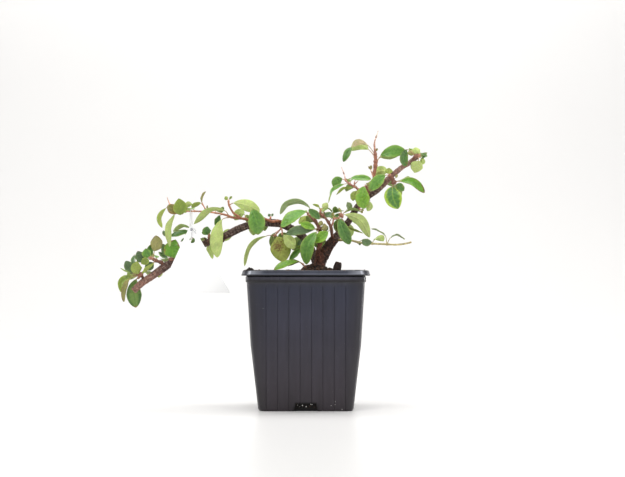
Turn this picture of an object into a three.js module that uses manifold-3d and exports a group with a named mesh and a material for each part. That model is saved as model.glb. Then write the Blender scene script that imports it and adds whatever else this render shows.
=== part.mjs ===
// Bearberry cotoneaster grown as a bonsai, in a square nursery pot, with a blank card on a string.
// Millimetres, +Z up. The origin is the centre of the pot's underside, +X is right and the front is -Y.
import * as THREE from 'three';
import { mergeVertices } from 'three/addons/utils/BufferGeometryUtils.js';
import Module from 'manifold-3d';

const wasm = await Module();
wasm.setup();

// Driving dimensions
const POT_HEIGHT = 120;
const POT_FLOOR = 2;
const POT_WALL = 1.2;
const RIM_HALF = 55;
const COLLAR_HALF = 51.4;
const CORNER_SHARE = 0.15;
const CORNER_POINTS = 4;
const GROOVES = 8;
const GROOVE_PITCH = 9.68;
const GROOVE_WIDTH = 2;
const GROOVE_DEPTH = 0.5;
const NOTCH = { top: 17.5, bottom: 20, height: 6.8, depth: 5 };
const SOIL_LEVEL = 117;
const MOUND = { x: 9, y: 0, height: 5.2, radius: 13 };
const SOIL_HALF = 48.9;
const RIPPLE = { height: 0.6, acrossX: 0.31, acrossY: 0.27 };
const CRUMBS = { count: 9, spread: 80, smallest: 1.8, largest: 3.2, squash: 0.8 };
const GAP = 0.3;
const WOOD_SIDES = 7;
const TWIG_SIDES = 5;
const FINEST = 0.02;
const BLADE_THICKNESS = 0.66;
const MIDRIB_THICKNESS = 0.8;
const SMALL_BLADE_THICKNESS = 0.92;
const BLADE_CUP = 0.2;
const BLADE_STEPS = 40;
const PETIOLE_WIDTH = 1.1;
const NARROWEST_BLADE = 0.88;
const SMALL_LEAF = 7.2;
const MIDDLE_LEAF = 10.2;
const TAG_THICKNESS = 0.7;
const TAG_CORNER = 1.6;
const TAG_HOLE = { x: -99.5, z: 146.5, radius: 2.5 };
const STRING_DIAMETER = 0.7;
const STRING_STEPS = 26;
const KNOT = { x: -100, y: -10.9, z: 156, radius: 1.35, depthShare: 0.8, heightShare: 1.25 };

// Half the width of the pot outside at each height, from the foot up: [half, height]
const FOOT = [40.2, 0];
const WALL = [[41.5, 2], [46.9, 56], [49.7, 107]];
// The collar, the recess above it and the turned-down lip
const RIM = [
  [49.85, 110], [COLLAR_HALF, 110.8], [COLLAR_HALF, 115], [50.7, 115.4],
  [50.7, 118.4], [54.3, 115.9], [RIM_HALF, 116.2], [53.9, 119.6], [53.4, POT_HEIGHT],
];
const INSIDE = [[39.9, POT_FLOOR], [45.5, 56], [48.6, 109], [49.6, POT_HEIGHT + 1]];

// Directions that the upper side of a leaf looks in
const FRONT = [0, -1, 0];
const BACK = [0, 1, 0];
const UP = [0, 0, 1];
const FRONT_UP = [0, -0.8, 0.6];
const BACK_UP = [0, 0.5, 0.87];
const LEFT_UP = [-0.75, 0.35, 0.55];
const LEFT = [-0.85, 0.45, 0.2];
const RIGHT_UP = [0.5, 0, 0.87];

// Colours of the pieces
const POT_BLACK = { color: 0x3b3c44, roughness: 0.45, metalness: 0 };
const SOIL_BLACK = { color: 0x1d1613, roughness: 1, metalness: 0 };
const BARK_BROWN = { color: 0x4a342c, roughness: 0.85, metalness: 0 };
const LEAF_GREEN = { color: 0x5f9a3a, roughness: 0.4, metalness: 0 };
const CARD_WHITE = { color: 0xf4f4f2, roughness: 0.6, metalness: 0 };
const STRING_WHITE = { color: 0xdedcda, roughness: 0.8, metalness: 0 };

// Sides and heights in the lists below are as seen from the front, in the plane of the trunk.
// placed() carries such a point along the line of sight to its own depth.
const EYE = { x: 5.7, y: -1500, z: 130 };
const placed = ([x, y, z]) => {
  const reach = 1 - y / EYE.y;
  return new THREE.Vector3(EYE.x + (x - EYE.x) * reach, y, EYE.z + (z - EYE.z) * reach);
};

// The woody plant: [x, y, z, radius] along each stem
const WOOD = {
  trunk: [
    [10.5, 0, 92, 3], [10.5, 0, 112, 5], [10.8, 0, 121, 6.3], [12.4, 0, 127, 5.2], [15.6, 0, 133, 4.8],
    [18.6, 0.5, 139, 4.6], [22.4, 1, 144.5, 4.4], [26.8, 2, 149.5, 4],
  ],
  right: [
    [24, 1.5, 146.5, 3.9], [29.5, 2, 153, 3.3], [33.3, 3, 157.5, 3], [38, 3, 164, 2.8],
    [41.5, 3, 170, 2.8], [45.5, 3, 176.5, 2.8], [50.5, 3, 181.5, 2.7], [56, 2.5, 186, 2.6],
    [61, 1, 189.3, 2.5], [66, 0, 193.7, 2.5], [70.5, -0.5, 198.5, 2.7], [75.5, -1, 203.7, 2.4],
    [80, -1, 207.3, 2.3], [85, 0, 211.3, 2.2], [90, 1, 214, 2.1], [94, 2, 217.2, 2.1], [98, 3, 219.8, 2],
  ],
  left: [
    [11.5, 1, 122, 4.2], [7, 3, 132, 3.8], [2.5, 4, 143, 3.5], [-3, 5, 150, 3.4], [-9, 5, 154.5, 3.4],
    [-16, 5, 158.5, 3.4], [-23, 4.5, 161.3, 3.4], [-30, 4, 162, 3.5], [-40, 4, 162, 3.3],
    [-49, 4, 160.2, 3.3], [-55, 4, 158.3, 3.3], [-61, 4, 155.7, 3.4], [-67, 4.5, 152.6, 3.3],
    [-73, 5, 149.6, 3.2], [-80, 5.5, 146.8, 3.1], [-87.5, 6, 144.3, 3.1], [-96, 6, 140.5, 3],
    [-104, 6, 136, 3], [-112, 5.5, 131, 3], [-119, 5, 126.8, 3.2], [-124, 5, 123.2, 3.6],
    [-130, 5, 119, 3.4], [-137, 4.5, 114, 3.2], [-143, 4, 110, 3.1], [-148, 3.5, 105.8, 3],
    [-151.8, 3, 102, 2.9],
  ],
  second: [
    [11.5, -1.5, 125, 3], [10.5, -4, 132, 2.4], [10.8, -5, 138, 2.2], [12.3, -5.5, 143.5, 2.1],
    [12.6, -5.5, 149, 1.9], [12.3, -5.5, 153, 1.7],
  ],
  flare: [[11, 0, 121, 4.5], [4, -1, 122.4, 3.2], [-1, -1, 121.8, 2.4], [-6, -1, 116, 1.8]],
  spurBelow: [[-72.5, 4, 149, 1.4], [-72.6, 1.5, 145, 0.8]],
  spurAbove: [[-87.5, 5, 145, 1.2], [-89.4, 2.6, 149.6, 0.5]],
};
const STUB = [[26, -6, 104, 3], [27.2, -6, 121, 3.5], [28.8, -6, 127.4, 3]];

// The larger lumps on the soil: [x, y, radius]
const BIG_CRUMBS = [[-44.5, -27, 4.4], [-42, 10, 3], [-10, -30, 3.2]];

// Each shoot has its twigs, [x, y, z, radius] along each, and its leaves: the blade's width, the way its
// upper side looks, the points of its midrib from the twig over the blade's base to the tip, and, where
// the blade is twisted, the way its upper side looks at the tip.
const SHOOTS = {
  shoot_tip_left: {
    twigs: [[[-142.5, 4, 110.5, 1.5], [-143.8, 4.3, 114.5, 1.4], [-146, 3.5, 116.5, 1.1]]],
    leaves: [
      [13.5, FRONT, [[-144.8, 4.3, 115.2], [-149, 9, 112.5], [-151, 11, 102], [-149.6, 10, 87.5]]],
      [8, LEFT, [[-145, 3.8, 115.8], [-154.5, -2, 113.2], [-159.3, -2.5, 104], [-160, -2, 92.5]]],
      [8.5, [-0.6, -0.8, 0.3], [[-145.5, 4, 116], [-153, 6, 115.3], [-161.3, 7.5, 110],
        [-161.8, 7, 100.5]]],
      [8.5, FRONT, [[-145.5, 4, 116.3], [-152, 6.5, 117], [-155, 8, 122.5], [-158.5, 8.5, 128.4]]],
      [4, UP, [[-145.8, 3.8, 116.3], [-154, 3, 118], [-159.5, 3, 119.6], [-163.2, 3, 122.3]]],
      [9.5, BACK, [[-145.8, 3.5, 116.3], [-147.2, 0.5, 117.5], [-149.3, -1.5, 122.5],
        [-148.3, -1.5, 128]]],
      [6, [-0.7, -0.6, 0.3], [[-146, 3.5, 116.5], [-149.5, 6, 121.5], [-151.5, 7.5, 127.5],
        [-150.6, 8, 134.3]]],
      [10, BACK_UP, [[-145, 4.5, 115.8], [-147, 10, 118], [-151, 16, 118], [-156, 21, 112]]],
      [9, UP, [[-145.5, 4.3, 116], [-143, 10, 118.5], [-139, 16, 118], [-135, 20, 113]]],
    ],
  },
  shoot_left: {
    twigs: [
      [[-125.5, 5, 123.5, 1.7], [-126.8, 3.5, 126.8, 1.6], [-131, 2.5, 128.4, 1.3], [-134.5, 2, 130, 1.1],
        [-137.5, 2, 131.3, 0.9]],
    ],
    leaves: [
      [9.5, FRONT, [[-137, 2, 131.2], [-141, 2.6, 129.5], [-145.5, 2.4, 132.5], [-148.3, 2.2, 137]]],
      [8, FRONT, [[-137, 2, 131.2], [-138, 0.8, 132], [-140, -0.5, 135], [-141, -0.5, 139.5]]],
      [6.5, FRONT, [[-137, 2, 131.2], [-138.6, -0.8, 130], [-141, -1.6, 128.4], [-145, -2, 126]]],
      [5.6, FRONT, [[-134.5, 2, 130], [-135.3, 4.5, 133.5], [-136.8, 5.5, 138.5], [-134.5, 5.5, 143.6]]],
      [10.5, BACK, [[-134, 2, 129.8], [-133.4, 0, 137], [-131.6, -1.5, 144], [-132, 0, 150.8]]],
      [5, LEFT_UP, [[-132.5, 2.2, 129], [-133.8, -0.2, 126.5], [-138, -1.6, 122.6], [-144, -2.2, 117.6]]],
      [7.5, FRONT, [[-132, 2.3, 128.8], [-134.2, 4, 127], [-137.5, 5.5, 124], [-141.5, 6, 120.5]]],
      [6, BACK, [[-127, 3.5, 126.8], [-127.2, 10, 124.5], [-128.5, 10.8, 119], [-129.6, 10, 113.8]]],
      [10, BACK_UP, [[-131, 2.5, 128.4], [-131.5, 8, 131], [-134, 14, 134], [-138, 20, 132]]],
      [9, BACK_UP, [[-128, 3.2, 127.3], [-126, 9, 129.5], [-123.5, 15, 130], [-121, 21, 126]]],
      [8.5, UP, [[-136, 2, 130.7], [-139, 7, 131.5], [-144, 12.5, 130], [-149, 16, 126]]],
    ],
  },
  shoot_beside_tag: {
    twigs: [[[-118.5, 5, 127, 1.5], [-118.3, 2.6, 130.4, 1.2]]],
    leaves: [
      [14.5, FRONT, [[-118.3, 2.6, 130], [-117.8, 1, 131.5], [-117.2, -1.5, 139], [-114.8, -2, 147.3]]],
      [6, FRONT, [[-118.3, 2.8, 130], [-121.5, 6, 132.5], [-124.5, 8, 137.5], [-125.6, 8.5, 143.6]]],
      [5.2, FRONT_UP, [[-118.3, 3, 129.6], [-121.5, 5, 130.6], [-125, 6.5, 132.3], [-129.5, 7, 136.3]]],
      [10, BACK_UP, [[-118.3, 3, 130], [-116.5, 8.5, 132.5], [-113, 14, 134], [-109, 20, 131]]],
    ],
  },
  shoot_behind_tag: {
    twigs: [[[-97, 6, 140, 1.3], [-98.5, 2, 146, 1.1], [-99.5, 0, 151.5, 0.9], [-100, -0.6, 154.5, 0.8]]],
    leaves: [
      [6, BACK_UP, [[-99.7, -0.2, 153], [-102, -1.5, 157.3], [-109, -2.4, 158.8], [-117, -2, 154.3]]],
      [6.5, FRONT_UP, [[-99.5, 0, 151.5], [-102, -2, 154], [-110, -3.6, 153], [-119, -3, 150.3]]],
      [6.5, FRONT, [[-99, 0.8, 149.5], [-97.5, -2, 150], [-97.2, -4, 146.5], [-100.5, -4.5, 141.5]]],
      [4.5, FRONT_UP, [[-98.6, 1.8, 146.5], [-101.5, 2.5, 147.3], [-106, 2.5, 147], [-110.2, 2, 145.5]]],
      [9, BACK_UP, [[-98.6, 1.8, 147], [-99, 8, 150], [-101, 14, 151.5], [-104, 19.5, 148]]],
      [9, BACK_UP, [[-98.2, 2.6, 145], [-95, 9, 147], [-92, 14.5, 147.5], [-88, 19, 144]]],
    ],
  },
  shoot_above_tag: {
    twigs: [
      [[-20, 4, 161, 1.5], [-24, -0.4, 163.6, 1.35], [-30, -1.3, 163.2, 1.3], [-35, -1.3, 164.8, 1.3],
        [-42, -1.4, 165, 1.25], [-48, -1.6, 163.9, 1.25], [-53, -2, 165.2, 1.25], [-58, -2.5, 166, 1.3],
        [-65, -3, 166.8, 1.15], [-71, -3.5, 169, 1], [-80, -4, 170.8, 0.9], [-88, -4, 171.8, 0.9],
        [-98.5, -4, 172.2, 0.8], [-107, -4, 172.4, 0.8], [-115, -3.5, 175, 0.75], [-119.5, -3, 178, 0.65],
        [-121.7, -3, 183, 0.4]],
      [[-57, -2.4, 166, 1.2], [-60.2, -3, 168, 1.2], [-63.5, -3.5, 170.3, 1.1], [-66, -4, 174, 1],
        [-67.8, -4, 178, 1], [-68.2, -4, 181.5, 0.8]],
      [[-87.3, -4, 171.8, 0.8], [-89, -4, 175, 0.7], [-91.3, -4, 178.7, 0.6]],
    ],
    leaves: [
      [15, FRONT, [[-47, -1.6, 164.1], [-47.6, -8.5, 173.6], [-43.6, -11, 164], [-42.2, -9.5, 151.5]]],
      [10.5, BACK, [[-67.6, -4, 177.5], [-64, -4.6, 179.3], [-52, -5, 177.4], [-40.5, -4, 172]]],
      [3.6, BACK, [[-68.2, -4, 181], [-69, -4.3, 182.3], [-69.9, -4.6, 183.6], [-71, -5, 185.3]]],
      [2.2, FRONT, [[-68.1, -4, 181], [-67.2, -3.8, 182.6], [-66.2, -3.6, 184], [-65, -3.4, 185.3]]],
      [9, BACK_UP, [[-68, -3.3, 168], [-71, -8, 172.4], [-83, -10.5, 173.2], [-98.6, -10.8, 160.6]]],
      [5.5, FRONT, [[-71, -3.5, 169], [-75.3, -2.2, 168.6], [-77.2, -1.6, 164.5], [-79.7, -1.2, 159]]],
      [11.5, BACK, [[-66, -3, 167], [-73.8, -6.5, 164.8], [-78.6, -8, 150], [-78, -7, 131.5]]],
      [1.6, FRONT, [[-87.3, -4, 172], [-86.9, -4, 174.2], [-86.8, -4, 175.5], [-86.6, -4, 177.4]]],
      [6, BACK_UP, [[-91, -4, 178.2], [-92.3, -4.4, 179.2], [-96, -5, 177.8], [-100.8, -5, 175.4]]],
      [5.5, LEFT, [[-91, -4, 178.2], [-91.6, -4, 180], [-90.8, -4, 184.5], [-88.2, -4, 189.7]]],
      [5, BACK, [[-105.5, -4, 172.4], [-106, -4.6, 175], [-103.6, -5, 178], [-100, -5, 178.4]]],
      [12, FRONT, [[-107, -4, 172.4], [-108.8, -7.5, 169.6], [-110.5, -9, 176], [-112, -8.5, 183.5]]],
      [8.5, FRONT, [[-119.3, -3, 178], [-121.2, -4.8, 177.4], [-117, -6, 173.8], [-112.2, -5.6, 170.4]]],
      [6, LEFT, [[-119.5, -3, 178], [-123, -3.5, 175], [-128.5, -4, 167], [-126.8, -3.6, 157.5]]],
      [5.8, BACK, [[-114.5, -3.5, 174.8], [-115.5, -4.2, 170], [-121.2, -6, 158], [-119.8, -5.4, 141]]],
      [3, FRONT, [[-120.9, -5.6, 150], [-124, -4.8, 150.3], [-125, -4.6, 152.5], [-125.4, -4.5, 155.3]]],
      [9, BACK, [[-52, -1.9, 165], [-54.5, 4.5, 169.5], [-58.5, 8.5, 170], [-63, 10.5, 164.5]]],
      [9.5, BACK_UP, [[-80, -4, 170.8], [-79, 2, 173], [-77, 8, 174], [-74, 14, 171]]],
      [9, UP, [[-98, -4, 172.2], [-99, 1.5, 174], [-102, 7, 174.5], [-106, 12, 171]]],
      [9, BACK_UP, [[-113, -3.6, 174.3], [-113, 2, 177], [-111, 8, 178], [-107, 13, 175]]],
    ],
  },
  shoot_right_of_tag: {
    twigs: [[[-85.5, 5.5, 146, 1.2], [-85.3, 3.5, 149.3, 1.1], [-85, 2.5, 151.6, 0.9]]],
    leaves: [
      [7.5, FRONT, [[-85, 2.6, 151.2], [-85.6, 1.2, 152], [-87.2, 0.5, 155], [-86.8, 0.5, 158.8]]],
      [2.6, FRONT, [[-85, 2.6, 151.2], [-87.5, 2.6, 151.8], [-89.5, 2.5, 152.6], [-91.7, 2.4, 153.8]]],
      [5.6, BACK, [[-85.3, 3.8, 149], [-85.6, 11, 145.5], [-84.8, 11, 138.5], [-82, 10, 130.3]]],
      [10, BACK, [[-85.2, 3.2, 150], [-84, 10.5, 150.5], [-80, 15, 147], [-77, 18, 138]]],
    ],
  },
  shoot_hanging: {
    twigs: [
      [[-22, 4, 159.5, 1.2], [-22.3, 1.4, 156.8, 0.9], [-24.3, 0.5, 154.5, 0.8], [-27.6, 0, 150.8, 0.9]],
      [[-22.1, 2.2, 157.6, 0.9], [-21.1, 1, 155.3, 0.8], [-21, 0.5, 151.4, 0.8]],
    ],
    leaves: [
      [17.5, BACK, [[-27.4, 0, 151], [-25.8, -1.2, 149.4], [-22.4, -3, 140], [-19.5, -3, 127.2]]],
      [10, BACK, [[-21, 0.5, 151.8], [-19.8, -5, 151.2], [-15, -6.8, 146.4], [-10, -6.6, 139]]],
      [9, LEFT_UP, [[-27.4, 0, 151], [-35, -1, 150.4], [-48, -2, 142], [-54.2, -1, 124]]],
      [10.5, BACK, [[-21, 0.7, 152.6], [-20.4, 7, 153.4], [-19.8, 13, 149.5], [-18.8, 16, 141]]],
      [9.5, BACK, [[-25, 0.4, 153.8], [-27.5, 6, 153], [-28, 10.5, 147], [-26, 12.5, 137]]],
    ],
  },
  shoot_buds_left: {
    twigs: [[[-31.5, 3.5, 163.5, 0.9], [-31.2, 2.4, 167, 0.8]]],
    leaves: [
      [2.8, FRONT, [[-31.2, 2.5, 166.5], [-31.9, 2, 167.6], [-32.4, 1.8, 168.6], [-33, 1.6, 170]]],
      [2, FRONT, [[-31.2, 2.5, 166.5], [-30.2, 2, 167.6], [-29.6, 1.8, 168.7], [-28.8, 1.6, 170.3]]],
    ],
  },
  shoot_middle: {
    twigs: [
      [[12.3, -5.5, 151, 1.7], [12, -5.8, 156, 1.6], [10.8, -5.8, 159, 1.4], [8, -5, 162.5, 1.2],
        [5, -4.5, 166.3, 1], [1.5, -4, 170, 0.9]],
      [[10.8, -5.8, 159, 1.3], [8.8, -6.6, 163.6, 1.2], [6.2, -6.8, 167.6, 1], [3.4, -6.8, 169.2, 0.8]],
    ],
    leaves: [
      [12, FRONT_UP, [[1.8, -4.1, 169.8], [0.4, -6, 171.6], [-10.5, -8, 168], [-22.5, -7, 158.6]]],
      [8, BACK_UP, [[1.7, -4, 170], [3.4, -3, 174.6], [-6, -2, 180.2], [-17, -1.5, 178.2],
        [-22.7, -1, 169.4]]],
      [5.6, BACK, [[3.6, -6.8, 169.1], [0.2, -10, 168], [-3, -11.2, 164.6], [-6.3, -11.2, 161]]],
      [6.5, FRONT, [[10.8, -6, 157.4], [8, -11, 157], [2, -13, 159.3], [-5, -12.6, 161.6]]],
      [8.5, FRONT, [[11.2, -6, 156.6], [7, -9.5, 155.9], [-5, -11.5, 155.8], [-17.5, -10, 152.4]]],
      [12, FRONT, [[11.8, -6.2, 156], [9.4, -11.5, 154], [1.8, -14.5, 143], [0.2, -13, 125.4]]],
      [5.2, BACK, [[12.2, -6, 156], [13.6, -10, 156], [16, -11.2, 157.8], [16.2, -10.8, 161.5]]],
      [4.4, BACK, [[11.6, -6, 157.5], [12.4, -8.6, 159.5], [12.8, -9, 161.4], [14, -8.8, 163.8]]],
      [4.2, FRONT, [[12.2, -5.8, 156.4], [15.4, -7.4, 156.2], [17.2, -7.6, 157], [19.2, -7.4, 159]]],
      [11, BACK_UP, [[10.8, -5.6, 159.2], [8.5, 1, 163], [4, 7, 164.5], [-2, 13, 161.5]]],
      [10.5, BACK_UP, [[7, -4.8, 164], [9.5, 1, 168], [12, 7, 169.5], [15.5, 13, 166]]],
      [9, UP, [[4, -4.4, 167.3], [1, 1, 171], [-4, 7, 172], [-10, 12, 169]]],
    ],
  },
  shoot_front: {
    twigs: [
      [[24, 0, 147.5, 1.6], [22.8, -4.5, 152, 1.5], [22, -6.5, 157.5, 1.4], [20, -7, 162, 1.3],
        [16.2, -7, 167, 1.2], [12.6, -7, 170.4, 1.1], [13.2, -7, 173.8, 0.8]],
      [[22, -6.5, 158, 1.1], [23.6, -6.6, 162, 0.9], [24.4, -6.6, 165.3, 0.9], [27.5, -6.5, 165.8, 0.9],
        [31.2, -6.2, 168.6, 0.9]],
    ],
    leaves: [
      [9, FRONT, [[22, -6.4, 157], [19.6, -8.4, 154.6], [14, -9.8, 150.2], [7.6, -9.4, 145.2]]],
      [7, FRONT, [[14.8, -7, 168.4], [12.4, -9.4, 165.6], [8.4, -10.6, 169], [2.4, -10.2, 173.8]]],
      [5, FRONT, [[15, -7, 168.3], [17, -8.8, 167.8], [19.3, -9.2, 168.8], [22.4, -8.8, 171]]],
      [4.2, UP, [[13, -7, 173.2], [17.6, -5.4, 174.9], [20.8, -5, 173.6], [23.2, -4.8, 170.8]]],
      [5.6, BACK, [[13.1, -7, 173.2], [14.6, -7.2, 175], [16.8, -7, 177], [18.8, -6.6, 179.6]]],
      [4, BACK_UP, [[13.1, -7, 173.3], [11.8, -7.6, 175.2], [9.2, -8, 176.7], [5.8, -8, 177.9]]],
      [2.6, BACK, [[12.8, -7, 171], [14.4, -8.6, 171.6], [14.8, -8.8, 173], [14.9, -8.6, 174.8]]],
      [10.5, FRONT, [[30.4, -6.3, 168], [29.4, -9.4, 166], [32.8, -11.6, 155.5], [38.4, -10.4, 143]]],
      [9.6, BACK, [[31, -6.2, 168.5], [34, -7.4, 169.2], [47.6, -9, 164.2], [56, -7.6, 149.2]]],
      [5, UP, [[31, -6.2, 168.5], [34, -3.6, 171], [41, -3, 173.3], [48.4, -2.8, 171.6]]],
      [5.4, UP, [[30.6, -6.2, 168.2], [34.5, -3, 160], [41, -3.2, 155.6], [50.2, -3.2, 152.8]]],
      [5.4, BACK, [[31, -6.2, 168.6], [36.5, -0.6, 174], [38.2, -0.4, 176.5], [36.2, -0.4, 180.2]]],
      [3, BACK, [[24.4, -6.6, 165.4], [23.8, -7.4, 167.4], [23.5, -7.6, 169.2], [23.7, -7.6, 171.4]]],
      [3, FRONT, [[25, -6.6, 165.4], [25.8, -5.6, 167.6], [27.2, -5.2, 168.5], [29.2, -5, 168.9]]],
      [2.2, BACK, [[31.2, -6.2, 168.6], [30.6, -6.4, 171], [30, -6.4, 173], [28.8, -6.4, 175.4]]],
      [10.5, BACK_UP, [[20, -7, 162], [23, -1.5, 166.5], [24.5, 5, 168.5], [25, 12, 165]]],
      [9.5, BACK_UP, [[30.8, -6.2, 168.3], [31, -1, 172], [28.5, 5, 173.5], [24, 10.5, 171]]],
      [9, UP, [[14.4, -7, 168.8], [16, -2, 172.5], [16, 4, 174.5], [14, 10, 172.5]]],
    ],
  },
  twig_bare: {
    twigs: [
      [[27, 1, 147, 1.3], [32, -2.2, 146.8, 1.1], [40, -3.6, 146.4, 0.95], [47, -3.8, 144.6, 0.9],
        [58, -4, 143.7, 0.85], [70, -4, 143.2, 0.85], [80, -4, 142.8, 0.8], [88, -3.5, 143.8, 0.8],
        [92.6, -3, 145, 0.8]],
    ],
    leaves: [
      [6.6, FRONT, [[46.4, -3.8, 144.8], [48.8, -5.2, 146.4], [53, -6, 144.8], [58, -5.6, 145]]],
      [2, FRONT, [[46, -3.8, 144.8], [46.6, -4.4, 144], [47.2, -4.6, 143.4], [48.2, -4.6, 142.6]]],
      [8, RIGHT_UP, [[71, -4, 143.5], [69.7, -4, 150.7], [64.3, -4, 154.5], [57.5, -3, 157.2]]],
      [8, UP, [[71.2, -4, 143.5], [74.5, -4, 149], [79.6, -4, 151.1], [86.8, -4, 147.3]]],
      [8.5, BACK_UP, [[58, -4, 143.7], [60, 1.5, 147], [63.5, 7, 149], [68, 12.5, 146]]],
    ],
  },
  shoot_upper_left: {
    twigs: [
      [[53.5, 2.8, 184, 1.3], [50, -1, 188, 1.1], [47, -1.5, 190.5, 1], [43, -1.5, 193.5, 1],
        [38, -1.5, 196.5, 0.9], [34.8, -1.5, 199.3, 0.8], [34.1, -1.5, 202.6, 0.5],
        [31.6, -1.5, 210, 0.35]],
      [[43.2, -1.5, 193.4, 0.9], [42.5, -1.9, 196.6, 0.7], [43, -2, 199, 0.5]],
      [[42.7, -1.8, 195.8, 0.7], [45.3, -2.4, 198.4, 0.45]],
    ],
    leaves: [
      [8, FRONT, [[34.9, -1.5, 199.2], [32, -2.2, 200.4], [27, -2.8, 198.4], [24.2, -2.6, 193.4]]],
      [5.8, FRONT_UP, [[38, -1.5, 196.5], [33.5, -4.4, 196], [24.2, -5.6, 191], [19.7, -5, 179.6]], LEFT],
      [6, BACK_UP, [[43, -1.5, 193.5], [41, -2.5, 192.7], [34, -3.4, 192], [26.6, -3, 186.8]]],
      [6.6, FRONT_UP, [[35.2, -1.5, 199], [38.6, -2.6, 200.9], [47, -4.4, 201.4], [57.4, -4, 200.6]]],
      [6, BACK, [[46, -1.5, 191.2], [44.4, -2.2, 190], [42, -2.6, 186.5], [41.2, -2.6, 181.2]]],
      [9, UP, [[38.5, -1.5, 196.2], [39.5, 4, 199], [39, 10, 200], [36.5, 16, 197]]],
      [8.5, BACK_UP, [[46, -1.5, 191.2], [44, 4, 194], [40, 10, 194], [35, 15, 190]]],
    ],
  },
  shoot_upright: {
    twigs: [
      [[61.5, 1, 190, 1.7], [60.3, 0, 197, 1.6], [60, -0.5, 204, 1.5], [61.2, -1, 214, 1.8],
        [60.8, -1, 224, 1.2], [60.2, -1, 232, 0.9], [61.8, -1, 238, 0.6], [63, -1, 241.8, 0.4]],
      [[60, -0.5, 201, 0.9], [58.4, -0.7, 204.4, 0.8], [57.4, -0.8, 208, 0.7]],
    ],
    leaves: [
      [8.6, [0, 1, 0.35], [[60.6, -1, 222.5], [54, -2.5, 230.5], [46, -4, 232.6], [38.4, -4.5, 226],
        [32.8, -4, 215.6]], [-0.35, -1, 0.35]],
      [10.5, FRONT, [[61.6, -1, 212.8], [65.2, -1.8, 220.2], [76, -3.2, 224.8], [87.6, -2.4, 225.2]]],
      [1.8, FRONT, [[60.8, -1, 223], [61.6, -1.4, 225], [62.1, -1.6, 226], [62.7, -1.6, 227.8]]],
      [1.8, FRONT, [[57.4, -0.8, 207.6], [56.6, -1, 209], [55.8, -1, 210.2], [54.9, -1, 211.9]]],
      [2.6, BACK, [[57.4, -0.8, 207.6], [57.3, -1, 209], [57.3, -1.2, 210.6], [57.3, -1.2, 212.7]]],
      [8.5, BACK, [[60.6, -1, 220], [55, 4, 226.5], [47, 8, 230.5], [39, 10.5, 226]]],
      [9.5, BACK, [[61, -1, 216], [65.5, 5, 219.5], [73.5, 9, 222.5], [83, 11.5, 223.5]]],
    ],
  },
  shoot_crook: {
    twigs: [
      [[75.5, -1, 203.5, 1.5], [75, -4.6, 203, 1.4], [76.4, -5.2, 200, 1.5], [77.6, -5.2, 197, 1.2]],
      [[75, -4.6, 203, 1.1], [73.2, -4.8, 204.2, 0.9]],
    ],
    leaves: [
      [10, FRONT, [[73.6, -4.8, 204], [70, -5.8, 203.8], [63, -7.4, 198.8], [56.2, -6.2, 190.4]]],
      [6.6, BACK, [[73.6, -4.8, 204], [73.4, -5, 205.2], [73, -5.2, 207.6], [73.4, -5.2, 210.3]]],
      [15, FRONT, [[77.4, -5.2, 197.6], [76.2, -6.8, 193.8], [76.4, -9.8, 185], [81, -9.2, 174.3]]],
      [6.6, FRONT, [[77.5, -5.2, 197.2], [79, -5, 195.8], [82.4, -5.2, 193.8], [86, -4.8, 190]]],
      [8.6, FRONT_UP, [[77.2, -5.2, 198.2], [82.8, -6, 198.4], [93, -7, 198], [104.3, -6, 188.5]]],
      [2.4, BACK, [[76.6, -5.2, 200], [78.8, -5.6, 201.4], [79.6, -5.8, 202.8], [80.6, -5.8, 204.6]]],
      [11.5, BACK, [[77.5, -5, 197.2], [77.5, 1, 195], [79, 7, 191], [82, 11, 183]]],
      [10, BACK_UP, [[77.3, -5, 197.8], [82, 0, 199], [87, 6, 200], [92, 12, 197]]],
      [9.5, BACK, [[73.8, -4.8, 204], [71.4, 0.5, 206.5], [65.5, 5.5, 207.4], [58.5, 8.5, 204.5]]],
    ],
  },
  shoot_bend: {
    twigs: [
      [[55.5, 2.6, 186, 1.3], [54.6, -1.8, 189, 1.2], [53.4, -3.6, 192.6, 1.1], [52.4, -4, 194.8, 0.9]],
    ],
    leaves: [
      [12.6, FRONT, [[52.6, -4, 194.2], [51.2, -5.8, 194], [49.4, -8.2, 186], [51.2, -7.6, 174.3]]],
      [5.6, BACK, [[54.6, -1.9, 189], [56.2, -3.2, 180.5], [56, -3.4, 176.5], [53.8, -3.3, 172.3]]],
      [2.6, BACK, [[53.2, -3.7, 193], [54.8, -5, 193.4], [55, -5.3, 195.2], [52.9, -5.4, 196.8]]],
      [10, BACK_UP, [[54.6, -1.8, 189], [51.5, 3, 191], [49, 8.5, 189], [47, 13.5, 181]]],
    ],
  },
  shoot_buds_right: {
    twigs: [[[46.3, 2, 175.5, 0.9], [47.4, -0.6, 173.6, 0.8]]],
    leaves: [
      [2.2, FRONT, [[47.3, -0.5, 173.8], [48.2, -1, 172.6], [48.8, -1.2, 171.8], [49.6, -1.2, 170.4]]],
      [2.2, BACK, [[47.3, -0.5, 173.8], [48.6, -1, 174], [49.6, -1.2, 173.6], [50.8, -1.2, 172.8]]],
    ],
  },
  shoot_tip_right: {
    twigs: [
      [[94, 2, 217.5, 1.4], [95.2, -0.8, 219.6, 1.2], [98, -1.4, 221, 1.1], [100.2, -1.5, 220.6, 0.8]],
    ],
    leaves: [
      [10.5, BACK, [[98.4, -1.4, 221], [99, -3.4, 216.6], [97, -4, 211], [95.6, -3.4, 205.8]]],
      [5.4, BACK, [[98.2, -1.4, 221], [99.4, -1.8, 222.6], [98, -2.4, 225.2], [93.4, -2.4, 226.3]]],
      [4.2, [0.3, -0.5, 0.8], [[99.4, -1.5, 220.8], [101.2, -1.8, 222.2], [104.4, -1.8, 221],
        [102, -1.8, 218.2]]],
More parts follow.
